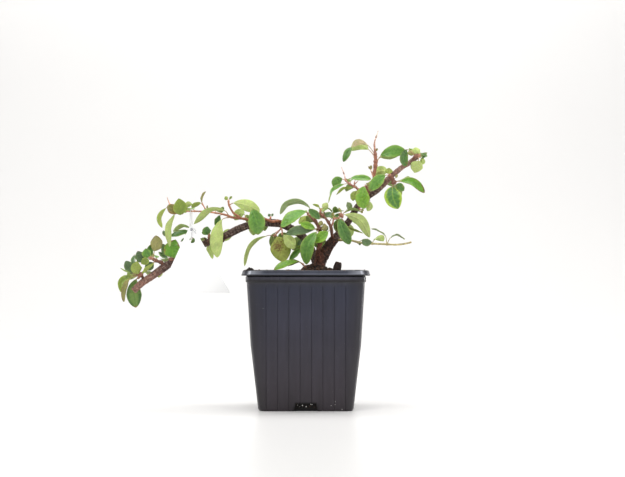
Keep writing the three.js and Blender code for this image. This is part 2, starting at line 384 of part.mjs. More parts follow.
      [4.6, BACK, [[99.6, -1.5, 220.6], [101.2, 0, 219], [102.4, 0.8, 216.5], [101.4, 0.8, 212.8]]],
      [5, BACK, [[95.6, -0.9, 219.8], [96.4, -0.4, 222], [93.5, 0.4, 223.6], [88.8, 0.6, 223.4]]],
      [7.6, FRONT, [[96.4, -1, 220.4], [89, -5.6, 226.4], [86, -7.4, 219], [87.6, -6.8, 211.3]]],
      [9.5, BACK_UP, [[97, -1.2, 220.7], [97, 4, 225], [95.5, 10, 226.5], [92, 16, 223.5]]],
      [9, UP, [[99, -1.5, 220.9], [101, 4, 223], [102, 10, 223], [100, 15.5, 219.5]]],
    ],
  },
  shoot_low: {
    twigs: [[[0.5, 4.5, 146, 1.1], [-0.8, 0.6, 144.5, 0.9], [-1.4, -0.8, 142.4, 0.8]]],
    leaves: [
      [4.6, FRONT, [[-0.9, 0.4, 144.2], [-3, -0.8, 146.4], [-5, -1.4, 145], [-7.4, -1.4, 142]]],
      [5.6, FRONT, [[-1.3, -0.6, 142.6], [-3.6, -2, 139.5], [-9, -3, 135.6], [-14.8, -2.6, 129]]],
    ],
  },
  shoot_low_back: {
    twigs: [[[1, 5, 145.5, 1.2], [2.5, 9.6, 147, 1]]],
    leaves: [
      [11, BACK, [[2.4, 9.2, 146.9], [0, 12, 147.5], [-6, 16, 145], [-12, 19, 138]]],
      [11.5, BACK, [[2.4, 9.2, 146.9], [5.5, 12, 148], [11, 16, 146], [15.5, 19.5, 138]]],
      [8.5, BACK, [[2.5, 9.4, 147], [2.6, 12, 145], [2.8, 15, 140], [2.5, 16.5, 132]]],
    ],
  },
  shoot_base: {
    twigs: [[[0, -1, 122.6, 0.9], [-3, -3, 125.7, 0.8]]],
    leaves: [
      [7.2, FRONT_UP, [[-2.8, -2.9, 125.5], [-7, -4, 127.8], [-17, -5.5, 126.2], [-28.4, -5, 120.9]]],
      [6, BACK_UP, [[-2.8, -2.9, 125.5], [-5, 2, 127.5], [-10, 7, 127.5], [-16, 10, 124]]],
    ],
  },
  shoot_back_left: {
    twigs: [[[-43, 5, 161.5, 1.3], [-43, 9, 164, 1.1]]],
    leaves: [
      [10.5, BACK_UP, [[-43, 8.6, 163.8], [-45, 12, 165.5], [-48, 17, 166.5], [-52, 23, 163]]],
      [10, BACK, [[-43, 8.6, 163.8], [-41, 11.5, 164.5], [-38, 15.5, 162], [-36, 18.5, 155]]],
      [9.5, BACK, [[-43, 8.8, 163.9], [-44, 11, 162.5], [-45.5, 14.5, 158], [-46.5, 16, 151]]],
    ],
  },
  shoot_back_bough: {
    twigs: [[[-63, 4.5, 154.8, 1.3], [-63, 9, 156, 1.1]]],
    leaves: [
      [9, BACK, [[-63, 8.6, 155.9], [-65, 12, 155.6], [-69, 16, 152], [-74, 19, 146]]],
      [9, BACK_UP, [[-63, 8.6, 155.9], [-60.5, 12, 157.5], [-57, 17, 158.5], [-53, 22, 155.5]]],
    ],
  },
  shoot_back_right: {
    twigs: [[[36, 3.4, 161.5, 1.3], [36, 8, 163, 1.1]]],
    leaves: [
      [10.5, BACK, [[36, 7.6, 162.9], [33.5, 10.5, 163.5], [30, 15, 161], [27.5, 18.5, 153]]],
      [10, BACK_UP, [[36, 7.6, 162.9], [39, 11, 164], [43.5, 16, 164.5], [48.5, 21, 160.5]]],
      [9.5, BACK, [[36, 7.8, 163], [36.5, 10, 161], [37.5, 13.5, 156], [38, 15, 148.5]]],
    ],
  },
  shoot_back_crook: {
    twigs: [[[66, 0.5, 193.7, 1.3], [65.5, 5.5, 194.6, 1.1]]],
    leaves: [
      [10.5, BACK, [[65.5, 5, 194.5], [63, 8.5, 195.5], [59, 13.5, 194], [55, 18, 188]]],
      [10, BACK_UP, [[65.5, 5, 194.5], [68, 9, 196], [72, 15, 197], [77, 20, 194]]],
    ],
  },
};

// Geometry helpers

function loft(rings, thin) {
  // Joins rings of points into one closed body. A thin one is a blade, whose two faces are split alike.
  const count = rings[0].length;
  const points = rings.flat();
  const index = [];
  const quad = (a, b, c, d, flipped) => {
    index.push(...(flipped ? [a, b, d, b, c, d] : [a, b, c, a, c, d]));
  };
  for (let i = 0; i + 1 < rings.length; i += 1) {
    for (let j = 0; j < count; j += 1) {
      const next = (j + 1) % count;
      const flipped = thin && j >= count / 2;
      quad(i * count + j, i * count + next, (i + 1) * count + next, (i + 1) * count + j, flipped);
    }
  }
  for (const [ring, end] of [[0, false], [rings.length - 1, true]]) {
    const start = ring * count;
    const face = end ? (a, b, c) => index.push(a, b, c) : (a, b, c) => index.push(a, c, b);
    if (thin) {
      for (let k = 0; k + 1 < count / 2; k += 1) {
        const [a, b, c, d] = [k, k + 1, count - 2 - k, count - 1 - k].map((v) => v + start);
        face(a, b, d);
        face(b, c, d);
      }
    } else {
      const middle = points.length;
      const centre = rings[ring].reduce((sum, p) => sum.add(p), new THREE.Vector3());
      points.push(centre.divideScalar(count));
      for (let j = 0; j < count; j += 1) {
        face(start + j, start + (j + 1) % count, middle);
      }
    }
  }
  const geometry = new THREE.BufferGeometry().setFromPoints(points);
  geometry.setIndex(index);
  return geometry;
}

function solid(geometry) {
  const plain = geometry.clone();
  plain.deleteAttribute('normal');
  plain.deleteAttribute('uv');
  const merged = mergeVertices(plain);
  const mesh = new wasm.Mesh({
    numProp: 3,
    vertProperties: new Float32Array(merged.attributes.position.array),
    triVerts: new Uint32Array(merged.index.array),
  });
  return new wasm.Manifold(mesh);
}

const joined = (bodies) => bodies.reduce((sum, body) => sum.add(body));

function largest(body) {
  // Cutting can leave a loose scrap, which is dropped
  return body.decompose().reduce((best, piece) => (piece.volume() > best.volume() ? piece : best));
}

function node(name, body, look) {
  const mesh = body.simplify(FINEST).getMesh();
  const geometry = new THREE.BufferGeometry();
  geometry.setAttribute('position', new THREE.BufferAttribute(new Float32Array(mesh.vertProperties), 3));
  geometry.setIndex(new THREE.BufferAttribute(new Uint32Array(mesh.triVerts), 1));
  return named(name, geometry, look);
}

function named(name, geometry, look) {
  const mesh = new THREE.Mesh(geometry, new THREE.MeshStandardMaterial(look));
  mesh.name = name;
  return mesh;
}

function seeded(seed) {
  let state = seed;
  return () => {
    state = (state * 1664525 + 1013904223) % 4294967296;
    return state / 4294967296;
  };
}

// Pot

function squareRing(half, z) {
  // A square with rounded corners, walked once round
  const radius = half * CORNER_SHARE;
  const ring = [];
  for (let quarter = 0; quarter < 4; quarter += 1) {
    for (let i = 0; i < CORNER_POINTS; i += 1) {
      const angle = (quarter - 1 + i / (CORNER_POINTS - 1)) * Math.PI / 2;
      const corner = [[1, -1], [1, 1], [-1, 1], [-1, -1]][quarter].map((side) => side * (half - radius));
      ring.push(new THREE.Vector3(
        corner[0] + radius * Math.cos(angle), corner[1] + radius * Math.sin(angle), z,
      ));
    }
  }
  return ring;
}

function grooveCutter(middle) {
  // A bar with a V section that lies along the front wall
  const below = [WALL[0][0] - 1.5, -1];
  return loft([below, ...WALL].map(([half, z]) => [
    new THREE.Vector3(middle - GROOVE_WIDTH, -half - GROOVE_DEPTH, z),
    new THREE.Vector3(middle + GROOVE_WIDTH, -half - GROOVE_DEPTH, z),
    new THREE.Vector3(middle, -half + GROOVE_DEPTH, z),
  ]));
}

function notchCutter() {
  // A flat bar that goes through the foot of the front wall and a little way into the floor
  const shape = new THREE.Shape([
    new THREE.Vector2(-NOTCH.bottom / 2, -1), new THREE.Vector2(NOTCH.bottom / 2, -1),
    new THREE.Vector2(NOTCH.bottom / 2, 0), new THREE.Vector2(NOTCH.top / 2, NOTCH.height),
    new THREE.Vector2(-NOTCH.top / 2, NOTCH.height), new THREE.Vector2(-NOTCH.bottom / 2, 0),
  ]);
  const options = { depth: 2 * NOTCH.depth + POT_WALL, bevelEnabled: false };
  const bar = new THREE.ExtrudeGeometry(shape, options);
  bar.rotateX(Math.PI / 2);
  bar.translate(0, NOTCH.depth - WALL[0][0], 0);
  return bar;
}

function makePot() {
  const outside = loft([FOOT, ...WALL, ...RIM].map(([half, z]) => squareRing(half, z)));
  const inside = loft(INSIDE.map(([half, z]) => squareRing(half, z)));
  const cutters = [notchCutter()];
  for (let i = 0; i < GROOVES; i += 1) {
    cutters.push(grooveCutter((i - (GROOVES - 1) / 2) * GROOVE_PITCH));
  }
  let pot = solid(outside).subtract(solid(inside));
  for (let quarter = 0; quarter < 4; quarter += 1) {
    cutters.forEach((cutter) => {
      pot = pot.subtract(solid(cutter.clone().rotateZ(quarter * Math.PI / 2)));
    });
  }
  return node('pot', pot, POT_BLACK);
}

// Wood

function tube(stations, sides, extra = 0) {
  // A stem that thickens and thins along its stations, each [x, y, z, radius]
  const places = stations.map(placed);
  const rings = places.map((place, i) => {
    const before = places[Math.max(i - 1, 0)];
    const after = places[Math.min(i + 1, places.length - 1)];
    const along = after.clone().sub(before).normalize();
    const across = new THREE.Vector3(0, 1, 0).addScaledVector(along, -along.y).normalize();
    const other = along.clone().cross(across);
    const radius = stations[i][3] + extra;
    const centre = place.clone();
    if (i === 0) {
      centre.addScaledVector(along, -extra);
    }
    if (i === places.length - 1) {
      centre.addScaledVector(along, extra);
    }
    return Array.from({ length: sides }, (_, j) => {
      const angle = (j / sides) * 2 * Math.PI;
      return centre.clone().addScaledVector(across, radius * Math.cos(angle))
        .addScaledVector(other, radius * Math.sin(angle));
    });
  });
  return solid(loft(rings));
}

const woodTubes = (extra) => joined(Object.values(WOOD).map((stem) => tube(stem, WOOD_SIDES, extra)));
const woodBody = woodTubes(0);
const woodRoom = woodTubes(GAP);

// Soil

function soilHeight(x, y) {
  const away = ((x - MOUND.x) ** 2 + (y - MOUND.y) ** 2) / MOUND.radius ** 2;
  const ripple = RIPPLE.height * Math.sin(x * RIPPLE.acrossX) * Math.cos(y * RIPPLE.acrossY);
  return SOIL_LEVEL + MOUND.height * Math.exp(-away) + ripple;
}

function makeSoil() {
  const fill = INSIDE.slice(0, -1).map(([half, z]) => [half - GAP, z]);
  fill[0][1] += GAP;
  const rings = fill.map(([half, z]) => squareRing(half, z));
  for (const share of [1, 0.84, 0.62, 0.42, 0.24]) {
    const ring = squareRing(SOIL_HALF * share, SOIL_LEVEL);
    ring.forEach((p) => {
      p.z = soilHeight(p.x, p.y);
    });
    rings.push(ring);
  }
  const random = seeded(7);
  let soil = solid(loft(rings));
  const crumbs = [...BIG_CRUMBS];
  while (crumbs.length < CRUMBS.count) {
    const x = (random() - 0.5) * CRUMBS.spread;
    const y = (random() - 0.5) * CRUMBS.spread;
    crumbs.push([x, y, CRUMBS.smallest + (CRUMBS.largest - CRUMBS.smallest) * random()]);
  }
  crumbs.forEach(([x, y, radius]) => {
    const lump = new THREE.IcosahedronGeometry(radius, 0);
    lump.rotateX(random() * Math.PI);
    lump.rotateZ(random() * Math.PI);
    lump.scale(1, 1, CRUMBS.squash);
    lump.translate(x, y, soilHeight(x, y));
    soil = soil.add(solid(lump));
  });
  soil = soil.subtract(woodRoom).subtract(tube(STUB, WOOD_SIDES, GAP));
  return node('soil', largest(soil), SOIL_BLACK);
}

// Leafy shoots

// The blade's outline, by the blade's width: [share of its length, share of its width]
const OUTLINE = [[0, 0.16], [0.22, 0.76], [0.52, 1], [0.83, 0.74], [1, 0.14]];
const MIDDLE_OUTLINE = [[0, 0.16], [0.28, 0.84], [0.66, 0.98], [1, 0.14]];
const SMALL_OUTLINE = [[0, 0.3], [0.3, 0.9], [0.65, 1], [1, 0.2]];

function outlineOf(width) {
  if (width < SMALL_LEAF) {
    return SMALL_OUTLINE;
  }
  return width < MIDDLE_LEAF ? MIDDLE_OUTLINE : OUTLINE;
}

function leaf([width, facing, points, tipFacing = facing]) {
  const curve = new THREE.CatmullRomCurve3(points.map(placed), false, 'centripetal');
  const base = 1 / (points.length - 1);
  const uAt = (step) => base + (1 - base) * (step / BLADE_STEPS);
  const walk = [0];
  for (let step = 1; step <= BLADE_STEPS; step += 1) {
    const stride = curve.getPoint(uAt(step)).distanceTo(curve.getPoint(uAt(step - 1)));
    walk.push(walk[step - 1] + stride);
  }
  const whole = walk[BLADE_STEPS];
  const stations = [{ u: 0, length: 0, across: PETIOLE_WIDTH, cup: 0 }];
  outlineOf(width).forEach(([length, share]) => {
    const step = walk.findIndex((gone) => gone >= length * whole - FINEST * FINEST);
    const across = Math.max(share * width, NARROWEST_BLADE);
    stations.push({ u: uAt(step), length, across, cup: BLADE_CUP });
  });
  const rings = stations.map(({ u, length, across, cup }) => {
    const place = curve.getPoint(u);
    const along = curve.getTangent(u);
    const wanted = new THREE.Vector3(...facing).lerp(new THREE.Vector3(...tipFacing), length);
    const up = wanted.addScaledVector(along, -wanted.dot(along)).normalize();
    const side = along.clone().cross(up).multiplyScalar(across / 2);
    const lift = cup * across / 2;
    const point = (sideways, rise) => (
      place.clone().addScaledVector(side, sideways).addScaledVector(up, rise)
    );
    if (width < SMALL_LEAF) {
      const half = SMALL_BLADE_THICKNESS / 2;
      return [point(-1, lift), point(0, half), point(1, lift), point(0, -half)];
    }
    const half = BLADE_THICKNESS / 2;
    const rib = MIDRIB_THICKNESS / 2;
    return [
      point(-1, lift + half), point(0, rib), point(1, lift + half),
      point(1, lift - half), point(0, -rib), point(-1, lift - half),
    ];
  });
  return solid(loft(rings, true));
}

function makeShoot(name, { twigs, leaves }) {
  const body = joined([...twigs.map((twig) => tube(twig, TWIG_SIDES)), ...leaves.map(leaf)]);
  return node(name, largest(body.subtract(woodRoom)), LEAF_GREEN);
}

// Card, string and knot

const TAG_Y = -8.6;
const TAG_CORNERS = [[-100.2, 161.8], [-128.5, 100.5], [-66, 100.5]];

function makeTag() {
  // A triangle with slightly rounded corners and a round hole below its top corner
  const outline = new THREE.Shape();
  TAG_CORNERS.forEach((corner, i) => {
    const here = new THREE.Vector2(...corner);
    const before = new THREE.Vector2(...TAG_CORNERS[(i + 2) % 3]).sub(here).setLength(TAG_CORNER);
    const after = new THREE.Vector2(...TAG_CORNERS[(i + 1) % 3]).sub(here).setLength(TAG_CORNER);
    const [start, end] = [here.clone().add(before), here.clone().add(after)];
    if (i === 0) {
      outline.moveTo(start.x, start.y);
    } else {
      outline.lineTo(start.x, start.y);
    }
    outline.quadraticCurveTo(here.x, here.y, end.x, end.y);
  });
  const hole = new THREE.Path();
  hole.absarc(TAG_HOLE.x, TAG_HOLE.z, TAG_HOLE.radius, 0, 2 * Math.PI, true);
  outline.holes.push(hole);
  const options = { depth: TAG_THICKNESS, bevelEnabled: false, curveSegments: 7 };
  const card = new THREE.ExtrudeGeometry(outline, options);
  card.rotateX(Math.PI / 2);
  card.translate(0, TAG_Y, 0);
  return named('tag', card, CARD_WHITE);
}

// The string leaves its knot, goes up and over the twig, down behind the card and out through its hole
const STRING_ROUTE = [
  [-101.2, -10.4, 158.4], [-101.2, -10.2, 161], [-101.3, -8.4, 165], [-101.3, -6.6, 169],
  [-101.4, -5.5, 171.2], [-101.3, -5, 173], [-101, -3.9, 173.7], [-100.6, -2.8, 173.1],
  [-100.2, -2.5, 171.6], [-100.1, -3.6, 168.6], [-100, -5.4, 165], [-99.7, -7, 161],
  [-99.6, -7.3, 155], [-99.6, -7.6, 150.2], [-99.6, -8.3, 147.9], [-99.6, -9.8, 147.9],
  [-99.8, -10.5, 150], [-99.9, -10.6, 153.4],
];

function alongRoute(name, route, diameter, steps, look) {
  const places = route.map((p) => new THREE.Vector3(...p));
  const curve = new THREE.CatmullRomCurve3(places, false, 'centripetal');
  const section = new THREE.Shape();
  section.absarc(0, 0, diameter / 2, 0, 2 * Math.PI, false);
  const options = { extrudePath: curve, steps, bevelEnabled: false, curveSegments: 4 };
  return named(name, new THREE.ExtrudeGeometry(section, options), look);
}

function makeKnot() {
  // A small lump of turns with two short tails
  const lump = new THREE.IcosahedronGeometry(KNOT.radius, 1);
  lump.scale(1, KNOT.depthShare, KNOT.heightShare);
  lump.translate(KNOT.x, KNOT.y, KNOT.z);
  const tails = [
    [[-99.6, -11, 156, 0.55], [-98.4, -11.2, 155, 0.5], [-97, -11.2, 152.8, 0.45]],
    [[-99.8, -11, 156.4, 0.55], [-98.2, -11.5, 156.6, 0.5], [-96.8, -11.5, 155.2, 0.45]],
  ].map((tail) => tube(tail, TWIG_SIDES));
  return node('tag_knot', joined([solid(lump), ...tails]), STRING_WHITE);
}

const plant = new THREE.Group();
plant.add(makePot());
plant.add(makeSoil());
plant.add(node('wood', woodBody, BARK_BROWN));
plant.add(node('stub', tube(STUB, WOOD_SIDES), BARK_BROWN));
Object.entries(SHOOTS).forEach(([name, parts]) => plant.add(makeShoot(name, parts)));
plant.add(makeTag());
plant.add(alongRoute('tag_string', STRING_ROUTE, STRING_DIAMETER, STRING_STEPS, STRING_WHITE));
plant.add(makeKnot());

export default plant;
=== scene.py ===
import math

import bmesh
import bpy
import numpy as np
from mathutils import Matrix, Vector, kdtree, noise
from mathutils.geometry import delaunay_2d_cdt


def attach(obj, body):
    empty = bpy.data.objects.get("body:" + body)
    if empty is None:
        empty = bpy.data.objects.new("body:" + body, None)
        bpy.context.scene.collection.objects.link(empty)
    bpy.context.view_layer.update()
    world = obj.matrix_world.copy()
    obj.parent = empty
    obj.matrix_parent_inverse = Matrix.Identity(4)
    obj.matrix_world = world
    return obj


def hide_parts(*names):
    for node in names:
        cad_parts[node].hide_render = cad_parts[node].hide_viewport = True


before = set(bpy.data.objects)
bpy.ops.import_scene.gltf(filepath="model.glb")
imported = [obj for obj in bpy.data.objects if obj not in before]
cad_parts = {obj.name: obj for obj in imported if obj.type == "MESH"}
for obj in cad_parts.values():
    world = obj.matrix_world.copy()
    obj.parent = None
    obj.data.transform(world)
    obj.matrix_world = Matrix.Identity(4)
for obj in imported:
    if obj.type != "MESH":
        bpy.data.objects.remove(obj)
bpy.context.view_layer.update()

scene = bpy.context.scene

# Points are listed in millimetres, and MM takes them to metres
MM = 0.001
# How brightly a white surface shows in the studio
STUDIO_LIGHT = 0.95

# Camera: just above the rim of the pot, one and a half metres away, with a long lens
EYE = np.array([5.7, -1500.0, 130.0])
AIM = np.array([5.7, 0.0, 148.2])
LENS = 98.29
SENSOR_WIDTH = 36.0
NEAREST_SHOWN = 0.01


def aimed(made, place, aim):
    """Puts a camera or a light in its place, turned towards its aim, both in metres."""
    made.location = place
    made.rotation_euler = (Vector(aim) - Vector(place)).to_track_quat("-Z", "Y").to_euler()
    scene.collection.objects.link(made)


def add_camera():
    data = bpy.data.cameras.new("camera")
    data.lens = LENS
    data.sensor_width = SENSOR_WIDTH
    data.clip_start = NEAREST_SHOWN
    camera = bpy.data.objects.new("camera", data)
    aimed(camera, EYE * MM, AIM * MM)
    scene.camera = camera


add_camera()


# Points and curves

CURVE_STEPS = 300


def placed(points):
    """Carries points that are given as seen from the front along their lines of sight to their own depth."""
    points = np.array(points, float)
    reach = 1 - points[:, 1] / EYE[1]
    points[:, 0] = EYE[0] + (points[:, 0] - EYE[0]) * reach
    points[:, 2] = EYE[2] + (points[:, 2] - EYE[2]) * reach
    return points


def placed_stem(stations):
    """Does the same for [x, y, z, radius] along a stem."""
    stations = np.array(stations, float)
    return np.column_stack([placed(stations[:, :3]), stations[:, 3]])


def unit(vectors):
    return vectors / np.maximum(np.linalg.norm(vectors, axis=-1, keepdims=True), 1e-9)


def spline(points, where):
    """The centripetal Catmull-Rom curve through the points, at each place from 0 to 1."""
    points = np.asarray(points, float)
    ends = np.vstack([2 * points[0] - points[1], points, 2 * points[-1] - points[-2]])
    where = np.clip(where, 0, 1) * (len(points) - 1)
    part = np.minimum(where.astype(int), len(points) - 2)
    t = (where - part)[:, None]
    p0, p1, p2, p3 = (ends[part + k] for k in range(4))
    d0, d1, d2 = (
        np.maximum(np.linalg.norm((b - a)[:, :3], axis=1, keepdims=True) ** 0.5, 1e-4)
        for a, b in ((p0, p1), (p1, p2), (p2, p3))
    )
    m1 = ((p1 - p0) / d0 - (p2 - p0) / (d0 + d1) + (p2 - p1) / d1) * d1
    m2 = ((p2 - p1) / d1 - (p3 - p1) / (d1 + d2) + (p3 - p2) / d2) * d1
    return p1 + m1 * t + (3 * (p2 - p1) - 2 * m1 - m2) * t ** 2 + (2 * (p1 - p2) + m1 + m2) * t ** 3


def gone_along(points):
    """How far along a path each of its points lies."""
    steps = np.linalg.norm(np.diff(points[:, :3], axis=0), axis=1)
    return np.concatenate([[0], np.cumsum(steps)])


def evenly(points, count, start=0.0, finish=1.0):
    """Points at equal steps along the curve between two places on it, and its length there."""
    where = np.linspace(start, finish, CURVE_STEPS)
    gone = gone_along(spline(points, where))
    where = np.interp(np.linspace(0, gone[-1], count), gone, where)
    return spline(points, where), gone[-1]


def softened(before, here, after, reach, count):
    """The points of a short curve that takes the place of a corner."""
    start, finish = here + unit(before - here) * reach, here + unit(after - here) * reach
    t = np.linspace(0, 1, count)[:, None]
    return (1 - t) ** 2 * start + 2 * t * (1 - t) * here + t * t * finish


def quarter_turn(quarters):
    """The matrix of a turn round the upright axis by a number of right angles."""
    angle = quarters * np.pi / 2
    return np.array([[np.cos(angle), -np.sin(angle), 0], [np.sin(angle), np.cos(angle), 0], [0, 0, 1]])


def directions(points):
    return unit(np.gradient(points[:, :3], axis=0))


def transported(along):
    """Two directions across a path at each point, which turn with it and never twist."""
    first = np.cross(along[0], [0.0, 1.0, 0.0])
    if np.linalg.norm(first) < 0.1:
        first = np.cross(along[0], [1.0, 0.0, 0.0])
    across = [unit(first)]
    for step in along[1:]:
        across.append(unit(across[-1] - step * np.dot(across[-1], step)))
    across = np.array(across)
    return across, np.cross(along, across)


def spokes(path, sides):
    """Directions that point out all round a path at each of its points, and their angles."""
    across, other = transported(directions(path))
    angle = np.linspace(0, 2 * np.pi, sides, endpoint=False)
    out = across[:, None] * np.cos(angle)[None, :, None] + other[:, None] * np.sin(angle)[None, :, None]
    return out, angle


def grain(points, scale, seed=0.0):
    """Smooth noise from -1 to 1 at each point; scale is in features for each millimetre."""
    points = np.asarray(points)
    shift = Vector((seed * 7.3, seed * 3.1, seed * 5.7))
    values = [noise.noise(Vector(p) * scale + shift) for p in points.reshape(-1, 3)]
    return np.array(values).reshape(points.shape[:-1])


def smooth(values):
    values = np.clip(values, 0, 1)
    return values * values * (3 - 2 * values)


def peak(values, width):
    """A bell curve that is 1 at 0 and falls off within the width."""
    return np.exp(-((values / width) ** 2))


def colour(red, green, blue):
    """The linear colour of a surface that shows with these 0 to 255 values in the studio light."""
    value = np.array([red, green, blue]) / 255
    return np.where(value <= 0.04045, value / 12.92, ((value + 0.055) / 1.055) ** 2.4) / STUDIO_LIGHT


def mixed(first, second, share):
    share = np.asarray(share, float)[..., None]
    return np.asarray(first) * (1 - share) + np.asarray(second) * share


# Meshes

WHITE = np.ones(3)
# The rings that round off the end of a stem: how far beyond it and how wide, in shares of its radius
DOME = [(0.42, 0.7), (0.6, 0.15)]


def ring_faces(rows, around):
    """The four-sided faces between rings of points."""
    start = np.arange(rows - 1)[:, None] * around
    step = np.arange(around)[None, :]
    following = (step + 1) % around
    corners = [start + step, start + following, start + around + following, start + around + step]
    return np.stack(corners, axis=-1).reshape(-1, 4)


class Surface:
    """Points, faces, point colours and face materials, which become one mesh."""

    def __init__(self):
        self.points = []
        self.faces = []
        self.tints = []
        self.finishes = []
        self.count = 0

    def add(self, points, blocks, tint, finish=0):
        """Adds points and blocks of faces; the finish is a material's number, or a list with one a block."""
        points = np.asarray(points, float).reshape(-1, 3)
        self.points.append(points)
        self.tints.append(np.broadcast_to(np.asarray(tint, float), points.shape))
        finishes = finish if isinstance(finish, list) else [finish] * len(blocks)
        for block, number in zip(blocks, finishes):
            self.faces.append(np.asarray(block, int) + self.count)
            self.finishes.append(np.broadcast_to(number, (len(block),)))
        self.count += len(points)

    def grid(self, rows, tint, finish=0):
        """A tube of rings of points, with its ends closed."""
        rows = np.asarray(rows, float)
        height, around = rows.shape[:2]
        last = (height - 1) * around
        tint = np.broadcast_to(np.asarray(tint, float), rows.shape).reshape(-1, 3)
        points = np.vstack([rows.reshape(-1, 3), rows[0].mean(axis=0), rows[-1].mean(axis=0)])
        tint = np.vstack([tint, tint[:around].mean(axis=0), tint[last:].mean(axis=0)])
        ring = np.arange(around)
        after = (ring + 1) % around
        foot, top = np.full(around, len(points) - 2), np.full(around, len(points) - 1)
        ends = [np.stack([after, ring, foot], axis=-1), np.stack([last + ring, last + after, top], axis=-1)]
        self.add(points, [ring_faces(height, around), *ends], tint, finish)

    def mesh(self, name):
        data = bpy.data.meshes.new(name)
        points = np.concatenate(self.points) * MM
        sizes = np.concatenate([np.full(len(block), block.shape[1]) for block in self.faces])
        corners = np.concatenate([block.ravel() for block in self.faces])
        starts = np.concatenate([[0], np.cumsum(sizes)[:-1]])
        data.vertices.add(len(points))
        data.vertices.foreach_set("co", points.astype(np.float32).ravel())
        data.loops.add(len(corners))
        data.loops.foreach_set("vertex_index", corners.astype(np.int32))
        data.polygons.add(len(sizes))
        data.polygons.foreach_set("loop_start", starts.astype(np.int32))
        data.polygons.foreach_set("material_index", np.concatenate(self.finishes).astype(np.int32))
        data.polygons.foreach_set("use_smooth", np.ones(len(sizes), bool))
        data.update(calc_edges=True)
        data.validate()
        paint(data, np.concatenate(self.tints))
        return data


def paint(data, tints):
    """Gives the points of a mesh their colours."""
    layer = data.color_attributes.new("tint", "FLOAT_COLOR", "POINT")
    layer.data.foreach_set("color", np.column_stack([tints, np.ones(len(tints))]).ravel())


def points_of(data):
    """The points of a mesh, in millimetres."""
    points = np.empty(3 * len(data.vertices))
    data.vertices.foreach_get("co", points)
    return points.reshape(-1, 3) / MM


def helper_object(name, data):
    """An object that is needed only while a piece is made."""
    made = bpy.data.objects.new(name, data)
    scene.collection.objects.link(made)
    return made


def worked_mesh(made):
    """A new mesh that shows what an object's modifiers make of it."""
    bpy.context.view_layer.update()
    return bpy.data.meshes.new_from_object(made.evaluated_get(bpy.context.evaluated_depsgraph_get()))


def piece(name, data, materials, nodes):
    """Puts a mesh into the scene as a piece of the plant that stands for its CAD nodes."""
    made = bpy.data.objects.new(name, data)
    for material in materials:
        data.materials.append(material)
    scene.collection.objects.link(made)
    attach(made, "root")
    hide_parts(*nodes)
    return made


def tube(surface, path, radii, sides, tint, finish=0, bumps=0.0, seed=0.0):
    """A round stem along a path, with uneven sides where bumps is over 0."""
    path = np.asarray(path, float)[:, :3]
    out, _ = spokes(path, sides)
    rows = path[:, None] + out * np.broadcast_to(np.asarray(radii, float), (len(path),))[:, None, None]
    if bumps:
        rows = rows + out * grain(rows, 1.1, seed)[..., None] * bumps
    tint = np.asarray(tint, float)
    if tint.ndim == 2:
        tint = np.repeat(tint[:, None], sides, axis=1)
    surface.grid(rows, tint, finish)


def domed(path, radii):
    """Rounds off the end of a stem."""
    onward = unit(path[-1] - path[-2]) * radii[-1]
    path = np.vstack([path, *(path[-1] + onward * beyond for beyond, _ in DOME)])
    return path, np.append(radii, [radii[-1] * wide for _, wide in DOME])


# Materials

# Sockets of the node that mixes two colours
MIX_SHARE, MIX_FIRST, MIX_SECOND, MIX_OUT = 0, 6, 7, 2
# The part of its range in which noise takes a value from low to high
NOISE_SPAN = (0.3, 0.7)


